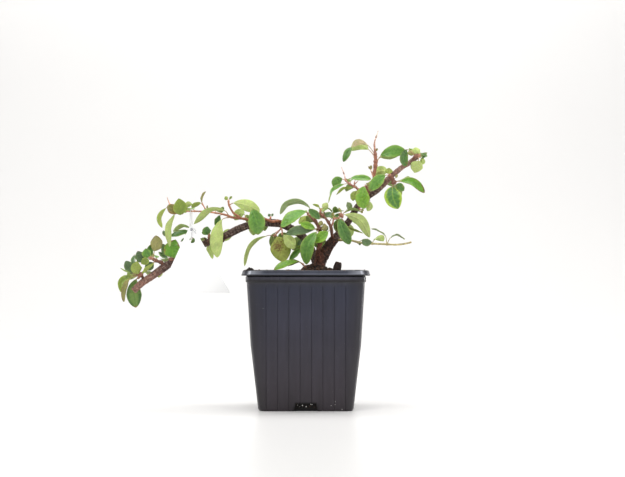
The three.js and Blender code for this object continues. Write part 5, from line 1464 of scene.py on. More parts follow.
        ["fresh", 10.5, BACK, [-21, 0.7, 152.6], [-20.4, 7, 153.4], [-19.8, 13, 149.5], [-18.8, 16, 141]],
        ["deep", 9.5, BACK, [-25, 0.4, 153.8], [-27.5, 6, 153], [-28, 10.5, 147], [-26, 12.5, 137]],
    ]),
    "shoot_buds_left": ([
        [[-31.5, 3.5, 163.5, 0.9], [-31.2, 2.4, 167, 0.8]],
    ], [
        ["grey", 2.8, FRONT, [-31.2, 2.5, 166.5], [-31.9, 2, 167.6], [-32.4, 1.8, 168.6], [-33, 1.6, 170]],
        ["grey", 2, FRONT, [-31.2, 2.5, 166.5], [-30.2, 2, 167.6], [-29.6, 1.8, 168.7], [-28.8, 1.6, 170.3]],
    ]),
    "shoot_middle": ([
        [[12.3, -5.5, 151, 1.7], [12, -5.8, 156, 1.6], [10.8, -5.8, 159, 1.4], [8, -5, 162.5, 1.2],
            [5, -4.5, 166.3, 1], [1.5, -4, 170, 0.9]],
        [[10.8, -5.8, 159, 1.3], [8.8, -6.6, 163.6, 1.2], [6.2, -6.8, 167.6, 1], [3.4, -6.8, 169.2, 0.8]],
    ], [
        ["fresh", 12, FRONT_UP, [1.8, -4.1, 169.8], [0.4, -6, 171.6], [-10.5, -8, 168], [-22.5, -7, 158.6]],
        ["grey", 8, BACK_UP, [1.7, -4, 170], [3.4, -3, 174.6], [-6, -2, 180.2], [-17, -1.5, 178.2],
            [-22.7, -1, 169.4]],
        ["olive", 5.6, BACK, [3.6, -6.8, 169.1], [0.2, -10, 168], [-3, -11.2, 164.6], [-6.3, -11.2, 161]],
        ["bright", 6.5, FRONT, [10.8, -6, 157.4], [8, -11, 157], [2, -13, 159.3], [-5, -12.6, 161.6]],
        ["grey", 8.5, FRONT, [11.2, -6, 156.6], [7, -9.5, 155.9], [-5, -11.5, 155.8], [-17.5, -10, 152.4]],
        ["fresh", 12, FRONT, [11.8, -6.2, 156], [9.4, -11.5, 154], [1.8, -14.5, 143], [0.2, -13, 125.4]],
        ["bronze", 5.2, BACK, [12.2, -6, 156], [13.6, -10, 156], [16, -11.2, 157.8], [16.2, -10.8, 161.5]],
        ["bronze", 4.4, BACK, [11.6, -6, 157.5], [12.4, -8.6, 159.5], [12.8, -9, 161.4], [14, -8.8, 163.8]],
        ["grey", 4.2, FRONT, [12.2, -5.8, 156.4], [15.4, -7.4, 156.2], [17.2, -7.6, 157], [19.2, -7.4, 159]],
        ["fresh", 11, BACK_UP, [10.8, -5.6, 159.2], [8.5, 1, 163], [4, 7, 164.5], [-2, 13, 161.5]],
        ["deep", 10.5, BACK_UP, [7, -4.8, 164], [9.5, 1, 168], [12, 7, 169.5], [15.5, 13, 166]],
        ["fresh", 9, UP, [4, -4.4, 167.3], [1, 1, 171], [-4, 7, 172], [-10, 12, 169]],
    ]),
    "shoot_front": ([
        [[24, 0, 147.5, 1.6], [22.8, -4.5, 152, 1.5], [22, -6.5, 157.5, 1.4], [20, -7, 162, 1.3],
            [16.2, -7, 167, 1.2], [12.6, -7, 170.4, 1.1], [13.2, -7, 173.8, 0.8]],
        [[22, -6.5, 158, 1.1], [23.6, -6.6, 162, 0.9], [24.4, -6.6, 165.3, 0.9], [27.5, -6.5, 165.8, 0.9],
            [31.2, -6.2, 168.6, 0.9]],
    ], [
        ["bright", 9, FRONT, [22, -6.4, 157], [19.6, -8.4, 154.6], [14, -9.8, 150.2], [7.6, -9.4, 145.2]],
        ["deep", 7, FRONT, [14.8, -7, 168.4], [12.4, -9.4, 165.6], [8.4, -10.6, 169], [2.4, -10.2, 173.8]],
        ["grey", 5, FRONT, [15, -7, 168.3], [17, -8.8, 167.8], [19.3, -9.2, 168.8], [22.4, -8.8, 171]],
        ["deep", 4.2, UP, [13, -7, 173.2], [17.6, -5.4, 174.9], [20.8, -5, 173.6], [23.2, -4.8, 170.8]],
        ["pale", 5.6, BACK, [13.1, -7, 173.2], [14.6, -7.2, 175], [16.8, -7, 177], [18.8, -6.6, 179.6]],
        ["olive", 4, BACK_UP, [13.1, -7, 173.3], [11.8, -7.6, 175.2], [9.2, -8, 176.7], [5.8, -8, 177.9]],
        ["pale", 2.6, BACK, [12.8, -7, 171], [14.4, -8.6, 171.6], [14.8, -8.8, 173], [14.9, -8.6, 174.8]],
        ["deep", 10.5, FRONT, [30.4, -6.3, 168], [29.4, -9.4, 166], [32.8, -11.6, 155.5],
            [38.4, -10.4, 143]],
        ["pale", 9.6, BACK, [31, -6.2, 168.5], [34, -7.4, 169.2], [47.6, -9, 164.2], [56, -7.6, 149.2]],
        ["deep", 5, UP, [31, -6.2, 168.5], [34, -3.6, 171], [41, -3, 173.3], [48.4, -2.8, 171.6]],
        ["olive", 5.4, UP, [30.6, -6.2, 168.2], [34.5, -3, 160], [41, -3.2, 155.6], [50.2, -3.2, 152.8]],
        ["grey", 5.4, BACK, [31, -6.2, 168.6], [36.5, -0.6, 174], [38.2, -0.4, 176.5], [36.2, -0.4, 180.2]],
        ["bronze", 3, BACK, [24.4, -6.6, 165.4], [23.8, -7.4, 167.4], [23.5, -7.6, 169.2],
            [23.7, -7.6, 171.4]],
        ["deep", 3, FRONT, [25, -6.6, 165.4], [25.8, -5.6, 167.6], [27.2, -5.2, 168.5], [29.2, -5, 168.9]],
        ["bronze", 2.2, BACK, [31.2, -6.2, 168.6], [30.6, -6.4, 171], [30, -6.4, 173], [28.8, -6.4, 175.4]],
        ["fresh", 10.5, BACK_UP, [20, -7, 162], [23, -1.5, 166.5], [24.5, 5, 168.5], [25, 12, 165]],
        ["deep", 9.5, BACK_UP, [30.8, -6.2, 168.3], [31, -1, 172], [28.5, 5, 173.5], [24, 10.5, 171]],
        ["fresh", 9, UP, [14.4, -7, 168.8], [16, -2, 172.5], [16, 4, 174.5], [14, 10, 172.5]],
    ]),
    "twig_bare": ([
        [[27, 1, 147, 1.3], [32, -2.2, 146.8, 1.1], [40, -3.6, 146.4, 0.95], [47, -3.8, 144.6, 0.9],
            [58, -4, 143.7, 0.85], [70, -4, 143.2, 0.85], [80, -4, 142.8, 0.8], [88, -3.5, 143.8, 0.8],
            [92.6, -3, 145, 0.8]],
    ], [
        ["grey", 6.6, FRONT, [46.4, -3.8, 144.8], [48.8, -5.2, 146.4], [53, -6, 144.8], [58, -5.6, 145]],
        ["grey", 2, FRONT, [46, -3.8, 144.8], [46.6, -4.4, 144], [47.2, -4.6, 143.4], [48.2, -4.6, 142.6]],
        ["grey", 8, RIGHT_UP, [71, -4, 143.5], [69.7, -4, 150.7], [64.3, -4, 154.5], [57.5, -3, 157.2]],
        ["grey", 8, UP, [71.2, -4, 143.5], [74.5, -4, 149], [79.6, -4, 151.1], [86.8, -4, 147.3]],
        ["fresh", 8.5, BACK_UP, [58, -4, 143.7], [60, 1.5, 147], [63.5, 7, 149], [68, 12.5, 146]],
    ]),
    "shoot_upper_left": ([
        [[53.5, 2.8, 184, 1.3], [50, -1, 188, 1.1], [47, -1.5, 190.5, 1], [43, -1.5, 193.5, 1],
            [38, -1.5, 196.5, 0.9], [34.8, -1.5, 199.3, 0.8], [34.1, -1.5, 202.6, 0.5],
            [31.6, -1.5, 210, 0.35]],
        [[43.2, -1.5, 193.4, 0.9], [42.5, -1.9, 196.6, 0.7], [43, -2, 199, 0.5]],
        [[42.7, -1.8, 195.8, 0.7], [45.3, -2.4, 198.4, 0.45]],
    ], [
        ["fresh", 8, FRONT, [34.9, -1.5, 199.2], [32, -2.2, 200.4], [27, -2.8, 198.4], [24.2, -2.6, 193.4]],
        ["fresh", 5.8, (FRONT_UP, LEFT), [38, -1.5, 196.5], [33.5, -4.4, 196], [24.2, -5.6, 191],
            [19.7, -5, 179.6]],
        ["olive", 6, BACK_UP, [43, -1.5, 193.5], [41, -2.5, 192.7], [34, -3.4, 192], [26.6, -3, 186.8]],
        ["fresh", 6.6, FRONT_UP, [35.2, -1.5, 199], [38.6, -2.6, 200.9], [47, -4.4, 201.4],
            [57.4, -4, 200.6]],
        ["olive", 6, BACK, [46, -1.5, 191.2], [44.4, -2.2, 190], [42, -2.6, 186.5], [41.2, -2.6, 181.2]],
        ["fresh", 9, UP, [38.5, -1.5, 196.2], [39.5, 4, 199], [39, 10, 200], [36.5, 16, 197]],
        ["deep", 8.5, BACK_UP, [46, -1.5, 191.2], [44, 4, 194], [40, 10, 194], [35, 15, 190]],
    ]),
    "shoot_upright": ([
        [[61.5, 1, 190, 1.7], [60.3, 0, 197, 1.6], [60, -0.5, 204, 1.5], [61.2, -1, 214, 1.8],
            [60.8, -1, 224, 1.2], [60.2, -1, 232, 0.9], [61.8, -1, 238, 0.6], [63, -1, 241.8, 0.4]],
        [[60, -0.5, 201, 0.9], [58.4, -0.7, 204.4, 0.8], [57.4, -0.8, 208, 0.7]],
    ], [
        ["twisted", 8.6, ([0, 1, 0.35], [-0.35, -1, 0.35]), [60.6, -1, 222.5], [54, -2.5, 230.5],
            [46, -4, 232.6], [38.4, -4.5, 226], [32.8, -4, 215.6]],
        ["fresh", 10.5, FRONT, [61.6, -1, 212.8], [65.2, -1.8, 220.2], [76, -3.2, 224.8],
            [87.6, -2.4, 225.2]],
        ["bronze", 1.8, FRONT, [60.8, -1, 223], [61.6, -1.4, 225], [62.1, -1.6, 226], [62.7, -1.6, 227.8]],
        ["bronze", 1.8, FRONT, [57.4, -0.8, 207.6], [56.6, -1, 209], [55.8, -1, 210.2], [54.9, -1, 211.9]],
        ["bronze", 2.6, BACK, [57.4, -0.8, 207.6], [57.3, -1, 209], [57.3, -1.2, 210.6],
            [57.3, -1.2, 212.7]],
        ["fresh", 8.5, BACK, [60.6, -1, 220], [55, 4, 226.5], [47, 8, 230.5], [39, 10.5, 226]],
        ["deep", 9.5, BACK, [61, -1, 216], [65.5, 5, 219.5], [73.5, 9, 222.5], [83, 11.5, 223.5]],
    ]),
    "shoot_crook": ([
        [[75.5, -1, 203.5, 1.5], [75, -4.6, 203, 1.4], [76.4, -5.2, 200, 1.5], [77.6, -5.2, 197, 1.2]],
        [[75, -4.6, 203, 1.1], [73.2, -4.8, 204.2, 0.9]],
    ], [
        ["fresh", 10, FRONT, [73.6, -4.8, 204], [70, -5.8, 203.8], [63, -7.4, 198.8], [56.2, -6.2, 190.4]],
        ["olive", 6.6, BACK, [73.6, -4.8, 204], [73.4, -5, 205.2], [73, -5.2, 207.6], [73.4, -5.2, 210.3]],
        ["edged", 15, FRONT, [77.4, -5.2, 197.6], [76.2, -6.8, 193.8], [76.4, -9.8, 185], [81, -9.2, 174.3]],
        ["deep", 6.6, FRONT, [77.5, -5.2, 197.2], [79, -5, 195.8], [82.4, -5.2, 193.8], [86, -4.8, 190]],
        ["scorched", 8.6, FRONT_UP, [77.2, -5.2, 198.2], [82.8, -6, 198.4], [93, -7, 198],
            [104.3, -6, 188.5]],
        ["bronze", 2.4, BACK, [76.6, -5.2, 200], [78.8, -5.6, 201.4], [79.6, -5.8, 202.8],
            [80.6, -5.8, 204.6]],
        ["deep", 11.5, BACK, [77.5, -5, 197.2], [77.5, 1, 195], [79, 7, 191], [82, 11, 183]],
        ["fresh", 10, BACK_UP, [77.3, -5, 197.8], [82, 0, 199], [87, 6, 200], [92, 12, 197]],
        ["fresh", 9.5, BACK, [73.8, -4.8, 204], [71.4, 0.5, 206.5], [65.5, 5.5, 207.4], [58.5, 8.5, 204.5]],
    ]),
    "shoot_bend": ([
        [[55.5, 2.6, 186, 1.3], [54.6, -1.8, 189, 1.2], [53.4, -3.6, 192.6, 1.1], [52.4, -4, 194.8, 0.9]],
    ], [
        ["bright", 12.6, FRONT, [52.6, -4, 194.2], [51.2, -5.8, 194], [49.4, -8.2, 186],
            [51.2, -7.6, 174.3]],
        ["pale", 5.6, BACK, [54.6, -1.9, 189], [56.2, -3.2, 180.5], [56, -3.4, 176.5], [53.8, -3.3, 172.3]],
        ["bronze", 2.6, BACK, [53.2, -3.7, 193], [54.8, -5, 193.4], [55, -5.3, 195.2], [52.9, -5.4, 196.8]],
        ["fresh", 10, BACK_UP, [54.6, -1.8, 189], [51.5, 3, 191], [49, 8.5, 189], [47, 13.5, 181]],
    ]),
    "shoot_buds_right": ([
        [[46.3, 2, 175.5, 0.9], [47.4, -0.6, 173.6, 0.8]],
    ], [
        ["bronze", 2.2, FRONT, [47.3, -0.5, 173.8], [48.2, -1, 172.6], [48.8, -1.2, 171.8],
            [49.6, -1.2, 170.4]],
        ["bronze", 2.2, BACK, [47.3, -0.5, 173.8], [48.6, -1, 174], [49.6, -1.2, 173.6],
            [50.8, -1.2, 172.8]],
    ]),
    "shoot_tip_right": ([
        [[94, 2, 217.5, 1.4], [95.2, -0.8, 219.6, 1.2], [98, -1.4, 221, 1.1], [100.2, -1.5, 220.6, 0.8]],
    ], [
        ["pale", 10.5, BACK, [98.4, -1.4, 221], [99, -3.4, 216.6], [97, -4, 211], [95.6, -3.4, 205.8]],
        ["pale", 5.4, BACK, [98.2, -1.4, 221], [99.4, -1.8, 222.6], [98, -2.4, 225.2], [93.4, -2.4, 226.3]],
        ["deep", 4.2, [0.3, -0.5, 0.8], [99.4, -1.5, 220.8], [101.2, -1.8, 222.2], [104.4, -1.8, 221],
            [102, -1.8, 218.2]],
        ["pale", 4.6, BACK, [99.6, -1.5, 220.6], [101.2, 0, 219], [102.4, 0.8, 216.5], [101.4, 0.8, 212.8]],
        ["bronze", 5, BACK, [95.6, -0.9, 219.8], [96.4, -0.4, 222], [93.5, 0.4, 223.6], [88.8, 0.6, 223.4]],
        ["deep", 7.6, FRONT, [96.4, -1, 220.4], [89, -5.6, 226.4], [86, -7.4, 219], [87.6, -6.8, 211.3]],
        ["fresh", 9.5, BACK_UP, [97, -1.2, 220.7], [97, 4, 225], [95.5, 10, 226.5], [92, 16, 223.5]],
        ["deep", 9, UP, [99, -1.5, 220.9], [101, 4, 223], [102, 10, 223], [100, 15.5, 219.5]],
    ]),
    "shoot_low": ([
        [[0.5, 4.5, 146, 1.1], [-0.8, 0.6, 144.5, 0.9], [-1.4, -0.8, 142.4, 0.8]],
    ], [
        ["grey", 4.6, FRONT, [-0.9, 0.4, 144.2], [-3, -0.8, 146.4], [-5, -1.4, 145], [-7.4, -1.4, 142]],
        ["fresh", 5.6, FRONT, [-1.3, -0.6, 142.6], [-3.6, -2, 139.5], [-9, -3, 135.6], [-14.8, -2.6, 129]],
    ]),
    "shoot_low_back": ([
        [[1, 5, 145.5, 1.2], [2.5, 9.6, 147, 1]],
    ], [
        ["fresh", 11, BACK, [2.4, 9.2, 146.9], [0, 12, 147.5], [-6, 16, 145], [-12, 19, 138]],
        ["deep", 11.5, BACK, [2.4, 9.2, 146.9], [5.5, 12, 148], [11, 16, 146], [15.5, 19.5, 138]],
        ["fresh", 8.5, BACK, [2.5, 9.4, 147], [2.6, 12, 145], [2.8, 15, 140], [2.5, 16.5, 132]],
    ]),
    "shoot_base": ([
        [[0, -1, 122.6, 0.9], [-3, -3, 125.7, 0.8]],
    ], [
        ["bright", 7.2, FRONT_UP, [-2.8, -2.9, 125.5], [-7, -4, 127.8], [-17, -5.5, 126.2],
            [-28.4, -5, 120.9]],
        ["fresh", 6, BACK_UP, [-2.8, -2.9, 125.5], [-5, 2, 127.5], [-10, 7, 127.5], [-16, 10, 124]],
    ]),
    "shoot_back_left": ([
        [[-43, 5, 161.5, 1.3], [-43, 9, 164, 1.1]],
    ], [
        ["fresh", 10.5, BACK_UP, [-43, 8.6, 163.8], [-45, 12, 165.5], [-48, 17, 166.5], [-52, 23, 163]],
        ["deep", 10, BACK, [-43, 8.6, 163.8], [-41, 11.5, 164.5], [-38, 15.5, 162], [-36, 18.5, 155]],
        ["fresh", 9.5, BACK, [-43, 8.8, 163.9], [-44, 11, 162.5], [-45.5, 14.5, 158], [-46.5, 16, 151]],
    ]),
    "shoot_back_bough": ([
        [[-63, 4.5, 154.8, 1.3], [-63, 9, 156, 1.1]],
    ], [
        ["fresh", 9, BACK, [-63, 8.6, 155.9], [-65, 12, 155.6], [-69, 16, 152], [-74, 19, 146]],
        ["deep", 9, BACK_UP, [-63, 8.6, 155.9], [-60.5, 12, 157.5], [-57, 17, 158.5], [-53, 22, 155.5]],
    ]),
    "shoot_back_right": ([
        [[36, 3.4, 161.5, 1.3], [36, 8, 163, 1.1]],
    ], [
        ["deep", 10.5, BACK, [36, 7.6, 162.9], [33.5, 10.5, 163.5], [30, 15, 161], [27.5, 18.5, 153]],
        ["fresh", 10, BACK_UP, [36, 7.6, 162.9], [39, 11, 164], [43.5, 16, 164.5], [48.5, 21, 160.5]],
        ["fresh", 9.5, BACK, [36, 7.8, 163], [36.5, 10, 161], [37.5, 13.5, 156], [38, 15, 148.5]],
    ]),
    "shoot_back_crook": ([
        [[66, 0.5, 193.7, 1.3], [65.5, 5.5, 194.6, 1.1]],
    ], [
        ["fresh", 10.5, BACK, [65.5, 5, 194.5], [63, 8.5, 195.5], [59, 13.5, 194], [55, 18, 188]],
        ["deep", 10, BACK_UP, [65.5, 5, 194.5], [68, 9, 196], [72, 15, 197], [77, 20, 194]],
    ]),
}

# Young leaves that are still folded together near the end of a shoot: their size, and where they start
FOLDED_PAIRS = {"shoot_upright": 2.3, "shoot_upper_left": 1.9}
FOLDED_PAIR_FROM = -11
# Rows and columns of points of a blade that is at least this wide
BLADE_POINTS = [(7, 46, 19), (3.2, 34, 13), (0, 18, 9)]
# The relief of a blade ten millimetres wide: how far its upper side swells between the veins, and how far
# it sinks along the veins and along the midrib, and how far both stand out below
QUILT, VEIN_SUNK, RIB_SUNK = 0.075, 0.06, 0.22
VEIN_OUT, RIB_OUT = 0.1, 0.32
# How far a vein runs towards the tip on its way to the edge, how wide it is, and how many veins there are
VEIN_SLANT, VEIN_WIDTH = 0.24, 0.09
VEINS, FEW_VEINS = 5.5, 4.5
# Blades narrower than this are more uneven than the others
SMALL_WIDTH = 7.2
# Where along the blade it is widest, and where it is when it is broad
WIDEST, WIDEST_BROAD = (0.49, 0.58), (0.4, 0.47)
# The slope to which a blade is folded, and how much more a small one is
FOLD, SMALL_FOLD = (0.14, 0.26), (0.1, 0.36)
# In shares of the width: how far the tip curls, and how high the waves of the edge are; and their number
CURL, WAVE, WAVES = (-0.05, 0.02), 0.03, (1.2, 2.0)
# Half the blade's thickness at its middle, and how much of it is gone at the edge
THICK, THINNED = 0.17, 0.09
# The stalk's radius for a blade of no width, how it grows with the width, and its limits
STALK_RADIUS, STALK_GROWTH, STALK_LIMITS = 0.2, 0.024, (0.22, 0.46)
TWIG_STEP = 0.55
TWIG_SIDES, STALK_SIDES, BUD_SIDES = 14, 9, 8
STALK_STEPS, BUD_STEPS = 16, 9
# The sizes of the buds at the end of a twig and beside a leaf; blades wider than this always have one
END_BUDS, SIDE_BUDS, BUDDED_WIDTH = (0.6, 0.9), (0.7, 1.1), 4
SHOOT_SEED = 100


def blade_outline(share, width, length, random):
    """Half the blade's width at each share of its length: a wedge at the base and a blunt tip, or the
    shape of a heart where the blade is broad."""
    broad = smooth((width / length - 0.58) / 0.24)
    widest = random.uniform(*WIDEST) * (1 - broad) + random.uniform(*WIDEST_BROAD) * broad
    small = smooth((SMALL_WIDTH - width) / 3)
    pointed = random.uniform(0, 1)
    rise = 0.86 - 0.26 * small * (1 - pointed) + random.uniform(-0.05, 0.05)
    rise = rise * (1 - broad) + 0.58 * broad
    fall = 0.6 + 0.34 * small * pointed * (1 - broad) + 0.17 * broad + random.uniform(-0.05, 0.05)
    rising = np.sin(0.5 * np.pi * np.clip(share / widest, 0, 1)) ** rise
    falling = np.cos(0.5 * np.pi * np.clip((share - widest) / (1 - widest), 0, 1)) ** fall
    return np.maximum(0.5 * width * (1 + 0.06 * broad) * rising * falling, 0.1)


def blade_tint(name, share, across, vein, midrib, place, random):
    """The colours of a blade's upper side and of its underside."""
    middle, margin, under = (colour(*shown) for shown in LEAF_TINTS[name])
    reach = np.abs(across)
    mottle = grain(place, 0.55, random.uniform(0, 40))
    speck = grain(place, 1.9, random.uniform(0, 40))
    tone = 1.1 + random.uniform(-0.24, 0.1) + 0.16 * mottle + 0.08 * speck
    if name in TWO_COLOURED:
        outer = smooth((reach + 0.2 * mottle + 0.25 * share - 0.62) / 0.4)
    else:
        outer = smooth((reach - 0.25) / 0.75) * 0.6 + 0.22 * share + 0.18 * mottle
    top = mixed(middle, margin, np.clip(outer, 0, 1))
    top = mixed(top, margin * 1.1, np.clip(0.14 * vein + 0.5 * midrib, 0, 1))
    rim = smooth((reach - 0.86) / 0.12) * np.clip(0.4 + 0.4 * mottle, 0, 1)
    top = mixed(top, LEAF_MARGIN, rim)
    below = mixed(under, under * 1.2 + 0.03, np.clip(0.7 * midrib + 0.22 * vein, 0, 1))
    below = mixed(below, middle, np.clip(0.2 + 0.3 * mottle, 0, 0.5))
    if name in BROWN_EDGED:
        mark = smooth((reach + 0.5 * mottle + 0.45 * smooth((share - 0.6) / 0.4) - 0.9) / 0.25)
        top = mixed(top, LEAF_BROWN, mark * 0.85)
        below = mixed(below, LEAF_BROWN, mark * 0.7)
    elif name in BROWN_SPOTTED:
        centre = peak(share - 0.36, 0.22) * peak(across + 0.15, 0.7)
        mark = smooth((centre + 0.55 * mottle + 0.7 * speck - 0.5) / 0.3)
        mark = np.clip(mark + 0.7 * smooth((speck - 0.45) / 0.15), 0, 1)
        below = mixed(below, LEAF_BROWN, mark * 0.85)
    else:
        mark = smooth((mottle + 0.4 * reach - random.uniform(0.62, 1.05)) / 0.2)
        top = mixed(top, LEAF_BROWN * 1.2, mark * 0.5)
        below = mixed(below, LEAF_BROWN * 1.2, mark * 0.35)
    tip = smooth((share + 0.04 * random.uniform(-1, 1) - 0.95) / 0.05)
    top = mixed(top, TIP_BROWN, tip * random.uniform(0.2, 0.8))
    return np.clip(top * tone[..., None], 0.003, 1), np.clip(below * tone[..., None], 0.003, 1)


def make_leaf_blade(surface, tint_name, width, facing, points, random):
    """A blade with a fold, a wavy edge, a midrib and side veins, and a skin round both of its sides."""
    base = 1 / (len(points) - 1)
    rows, columns = next(grid for least, *grid in BLADE_POINTS if width >= least)
    spine, length = evenly(placed(points), rows, base, 1)
    along = directions(spine)
    facing = np.atleast_2d(facing)
    wanted = mixed(facing[0], facing[-1], np.linspace(0, 1, rows))
    up = unit(wanted - along * (wanted * along).sum(axis=1, keepdims=True))
    roll = random.normal(0, 0.07) + random.uniform(-0.4, 0.4) * smooth((SMALL_WIDTH - width) / 2)
    up = unit(up + np.cross(along, up) * roll)
    side = np.cross(along, up)
    # From here on, rows of an array go from the blade's base to its tip and columns from edge to edge
    share = np.linspace(0, 1, rows)[:, None]
    half = blade_outline(share, width, length, random)
    across = np.linspace(-1, 1, columns)[None, :]
    across = across * (0.6 + 0.4 * np.abs(across))
    reach = np.abs(across)
    scale = min(width, 14) / 10
    phase = share - VEIN_SLANT * reach ** 1.15 + 0.02 * np.sign(across)
    phase = phase * (VEINS if width >= BLADE_POINTS[0][0] else FEW_VEINS)
    from_vein = np.abs(phase - np.round(phase))
    fade = (1 - reach ** 3) * smooth(share / 0.14) * smooth((1 - share) / 0.12)
    vein = peak(from_vein, VEIN_WIDTH) * fade
    quilt = -np.cos(2 * np.pi * from_vein) * fade
    midrib = peak(across * half, 0.28 * scale + 0.08) * (1 - 0.6 * share)
    swing = 2 * np.pi * (share * random.uniform(*WAVES) + random.uniform(0, 1)) + 1.8 * (across > 0)
    wave = WAVE * width * reach ** 3 * np.sin(swing) * smooth(share / 0.2)
    fold = random.uniform(*FOLD) + random.uniform(*SMALL_FOLD) * smooth((SMALL_WIDTH - width) / 3)
    curl = random.uniform(*CURL) * width * smooth((share - 0.6) / 0.4)
    lift = fold * half * reach ** 1.3 + wave + curl
    relief = scale * (QUILT * quilt - VEIN_SUNK * vein - RIB_SUNK * midrib)
    thick = (THICK - THINNED * reach ** 2) * (0.7 + 0.3 * scale)
    uneven = 0.014 + 0.03 * smooth((8.4 - width) / 3)
    edge = 1 + uneven * np.sin(share * random.uniform(12, 22) + random.uniform(0, 6))
    place = spine[:, None] + side[:, None] * (across * half * edge)[..., None]
    upper = place + up[:, None] * (lift + relief + thick)[..., None]
    below = lift + relief * 0.75 - thick - scale * (RIB_OUT * midrib + VEIN_OUT * vein)
    lower = place + up[:, None] * below[..., None]
    tints = blade_tint(tint_name, share, across, vein, midrib, place, random)
    around = 2 * columns
    k = np.arange(columns - 1)
    cap = np.stack([k, k + 1, around - 2 - k, around - 1 - k], axis=-1)
    sides = np.where(np.arange(around) < columns - 1, UPPER_SIDE, UNDERSIDE)
    surface.add(
        np.concatenate([upper, lower[:, ::-1]], axis=1),
        [ring_faces(rows, around), cap[:, ::-1], cap + (rows - 1) * around],
        np.concatenate([tints[0], tints[1][:, ::-1]], axis=1).reshape(-1, 3),
        [np.tile(sides, rows - 1), UNDERSIDE, UNDERSIDE],
    )


def make_petiole(surface, width, points, young, random):
    """The leaf's stalk from the twig into the blade's base, swollen where it joins the twig."""
    base = 1 / (len(points) - 1)
    line, _ = evenly(placed(points), STALK_STEPS, 0, base + 0.1 * (1 - base))
    share = np.linspace(0, 1, STALK_STEPS)
    thick = np.clip(STALK_RADIUS + STALK_GROWTH * width, *STALK_LIMITS)
    radii = thick * (1 + 0.55 * peak(share, 0.12) - 0.35 * share)
    green = mixed(young * 0.8, STALK_GREEN, share * 0.75 + 0.1)
    tube(surface, line, radii, STALK_SIDES, green, STALK, 0.05, random.uniform(0, 30))


def make_bud(surface, at, towards, size, random, ending=BUD_TIP, wander=0.2):
    """A pointed bud, darker at its base."""
    heading = unit(unit(np.asarray(towards, float)) + random.normal(0, wander, 3))
    share = np.linspace(0, 1, BUD_STEPS)
    line = at + heading * (share * size * 2.3)[:, None]
    radii = size * 0.42 * np.sin(np.pi * (0.16 + 0.84 * share)) ** 0.8 * (1 - 0.5 * share) + 0.04
    tint = mixed(BUD_FOOT, ending, smooth(share * 1.6))
    tube(surface, line, radii, BUD_SIDES, tint, STALK, 0.04, random.uniform(0, 30))


def make_twig(surface, name, stations, attached, tints, seed):
    """A twig that is swollen where leaves join it; the pruned one is thicker and ends in a cut."""
    old, young, tip = tints
    pruned = name == "twig_bare"
    rough = placed_stem(stations)
    length = gone_along(rough)[-1]
    path, _ = evenly(rough, max(int(length / TWIG_STEP), 10))
    width = path[:, 3]
    slim = 1.0 if pruned else 0.8
    radii = width * (slim + (0.94 - slim) * smooth((width - 0.7) / 0.8))
    for at in attached:
        radii = radii * (1 + 0.26 * peak(np.linalg.norm(path[:, :3] - at, axis=1), 1.0))
    gone = np.linspace(0, length, len(path))
    radii = radii * (1 + 0.07 * np.sin(gone * 1.3 + seed))
    path = path[:, :3]
    tint = mixed(old, young, smooth((1.4 - width) / 0.8))
    tint = mixed(tint, tip, smooth((gone / length - 0.72) / 0.28) * smooth((0.9 - width) / 0.3))
    tint = tint * (1 + 0.3 * grain(path, 0.5, seed) + 0.2 * grain(path, 1.6, seed))[:, None]
    shown = path
    if not pruned:
        shown, radii = domed(path, radii)
        tint = np.vstack([tint, *[tint[-1]] * len(DOME)])
    tube(surface, shown, radii, TWIG_SIDES, np.clip(tint, 0, 1), STALK, 0.12, seed)
    return path, radii[-1] < 0.5 and not pruned


def make_shoot(name, twigs, leaves, seed):
    random = np.random.default_rng(seed)
    surface = Surface()
    attached = placed([leaf[3] for leaf in leaves])
    tints = [colour(*shown) for shown in TWIG_TINTS.get(name, TWIG_COLOURS)]
    for number, stations in enumerate(twigs):
        path, budded = make_twig(surface, name, stations, attached, tints, seed)
        if budded:
            make_bud(surface, path[-1], path[-1] - path[-4], random.uniform(*END_BUDS), random)
        if number == 0 and name in FOLDED_PAIRS:
            foot = path[FOLDED_PAIR_FROM]
            make_bud(surface, foot, path[-1] - foot, FOLDED_PAIRS[name], random, tints[2], 0.02)
    for index, (tint_name, width, facing, *points) in enumerate(leaves):
        make_petiole(surface, width, points, tints[1], random)
        make_leaf_blade(surface, tint_name, width, facing, points, random)
        if width > BUDDED_WIDTH or index % 2 == 0:
            towards = placed(points)[1] - attached[index] + np.array([0, 0, 1.5])
            make_bud(surface, attached[index], towards, random.uniform(*SIDE_BUDS), random)
    data = surface.mesh(name + "_growth")
    piece(name + "_growth", data, [LEAF_TOP, LEAF_UNDER, TWIG], [name])


for number, (shoot, (twigs, leaves)) in enumerate(SHOOTS.items()):
    make_shoot(shoot, twigs, leaves, SHOOT_SEED + number)


# Floor and light, in metres

# The floor's front edge, where it starts to sweep up, the sweep's radius, the backdrop's top, and half
# the width of both
FLOOR = {"front": -2.6, "bend": 1.2, "radius": 0.9, "top": 4.0, "half": 4.0}
WORLD_LIGHT = 0.46
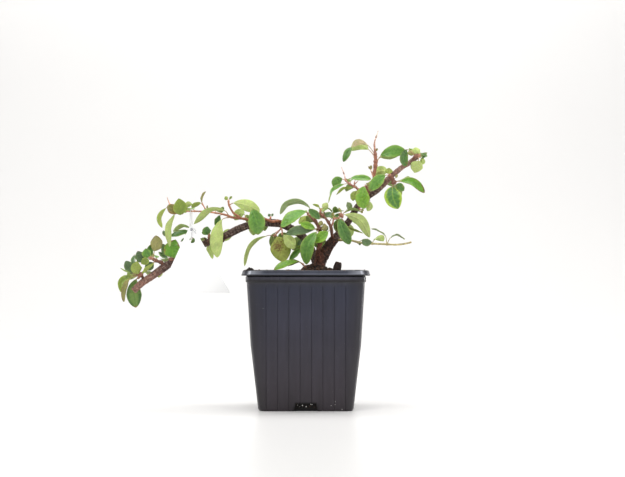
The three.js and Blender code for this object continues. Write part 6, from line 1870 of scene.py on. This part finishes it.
# Name, place, aim, size and power of each light
LIGHTS = [
    ("key", (-1.1, -1.5, 1.7), (0, 0, 0.12), (1.2, 1.2), 20),
    ("fill", (1.5, -1.2, 0.9), (0, 0, 0.12), (1.0, 1.4), 7.5),
    ("top", (0.1, 0.1, 1.9), (0, 0, 0.1), (1.6, 1.6), 25),
    ("glint", (0.95, -0.75, 0.75), (0, 0, 0.12), (0.12, 0.12), 0.8),
    ("right_strip", (1.3, 0.55, 0.45), (0, 0, 0.1), (0.12, 0.9), 8),
    ("left_strip", (-1.3, 0.5, 0.45), (0, 0, 0.1), (0.12, 0.9), 6),
    ("backdrop", (0, 0.5, 1.5), (0, 2.0, 0.2), (3.0, 0.5), 14),
]


def make_floor():
    """A white floor that sweeps up into a white backdrop."""
    bend, radius = FLOOR["bend"], FLOOR["radius"]
    profile = [(FLOOR["front"], 0.0), (bend, 0.0)]
    for angle in np.linspace(0.05, math.pi / 2, 24):
        profile.append((bend + radius * math.sin(angle), radius - radius * math.cos(angle)))
    profile.append((bend + radius, FLOOR["top"]))
    points = [(x, y, z) for y, z in profile for x in (-FLOOR["half"], FLOOR["half"])]
    faces = [(k, k + 1, k + 3, k + 2) for k in range(0, len(points) - 2, 2)]
    data = bpy.data.meshes.new("floor_sweep")
    data.from_pydata(points, [], faces)
    data.polygons.foreach_set("use_smooth", np.ones(len(faces), bool))
    data.materials.append(add_material(
        "white_floor", 0.38, [{"scale": 3, "detail": 2, "shade": (0.99, 1.0)}],
        base=(0.74, 0.731, 0.72), values={"Specular IOR Level": 0.8, **glow(0.02)},
    ))
    floor = bpy.data.objects.new("floor_sweep", data)
    scene.collection.objects.link(floor)


def add_light(name, place, aim, size, power):
    data = bpy.data.lights.new(name, "AREA")
    data.shape = "RECTANGLE"
    data.size, data.size_y = size
    data.energy = power
    aimed(bpy.data.objects.new(name, data), place, aim)


make_floor()
for light in LIGHTS:
    add_light(*light)
world = bpy.data.worlds.new("studio")
world.use_nodes = True
world.node_tree.nodes["Background"].inputs["Color"].default_value = (1.0, 1.0, 1.0, 1.0)
world.node_tree.nodes["Background"].inputs["Strength"].default_value = WORLD_LIGHT
scene.world = world
scene.view_settings.view_transform = "Standard"
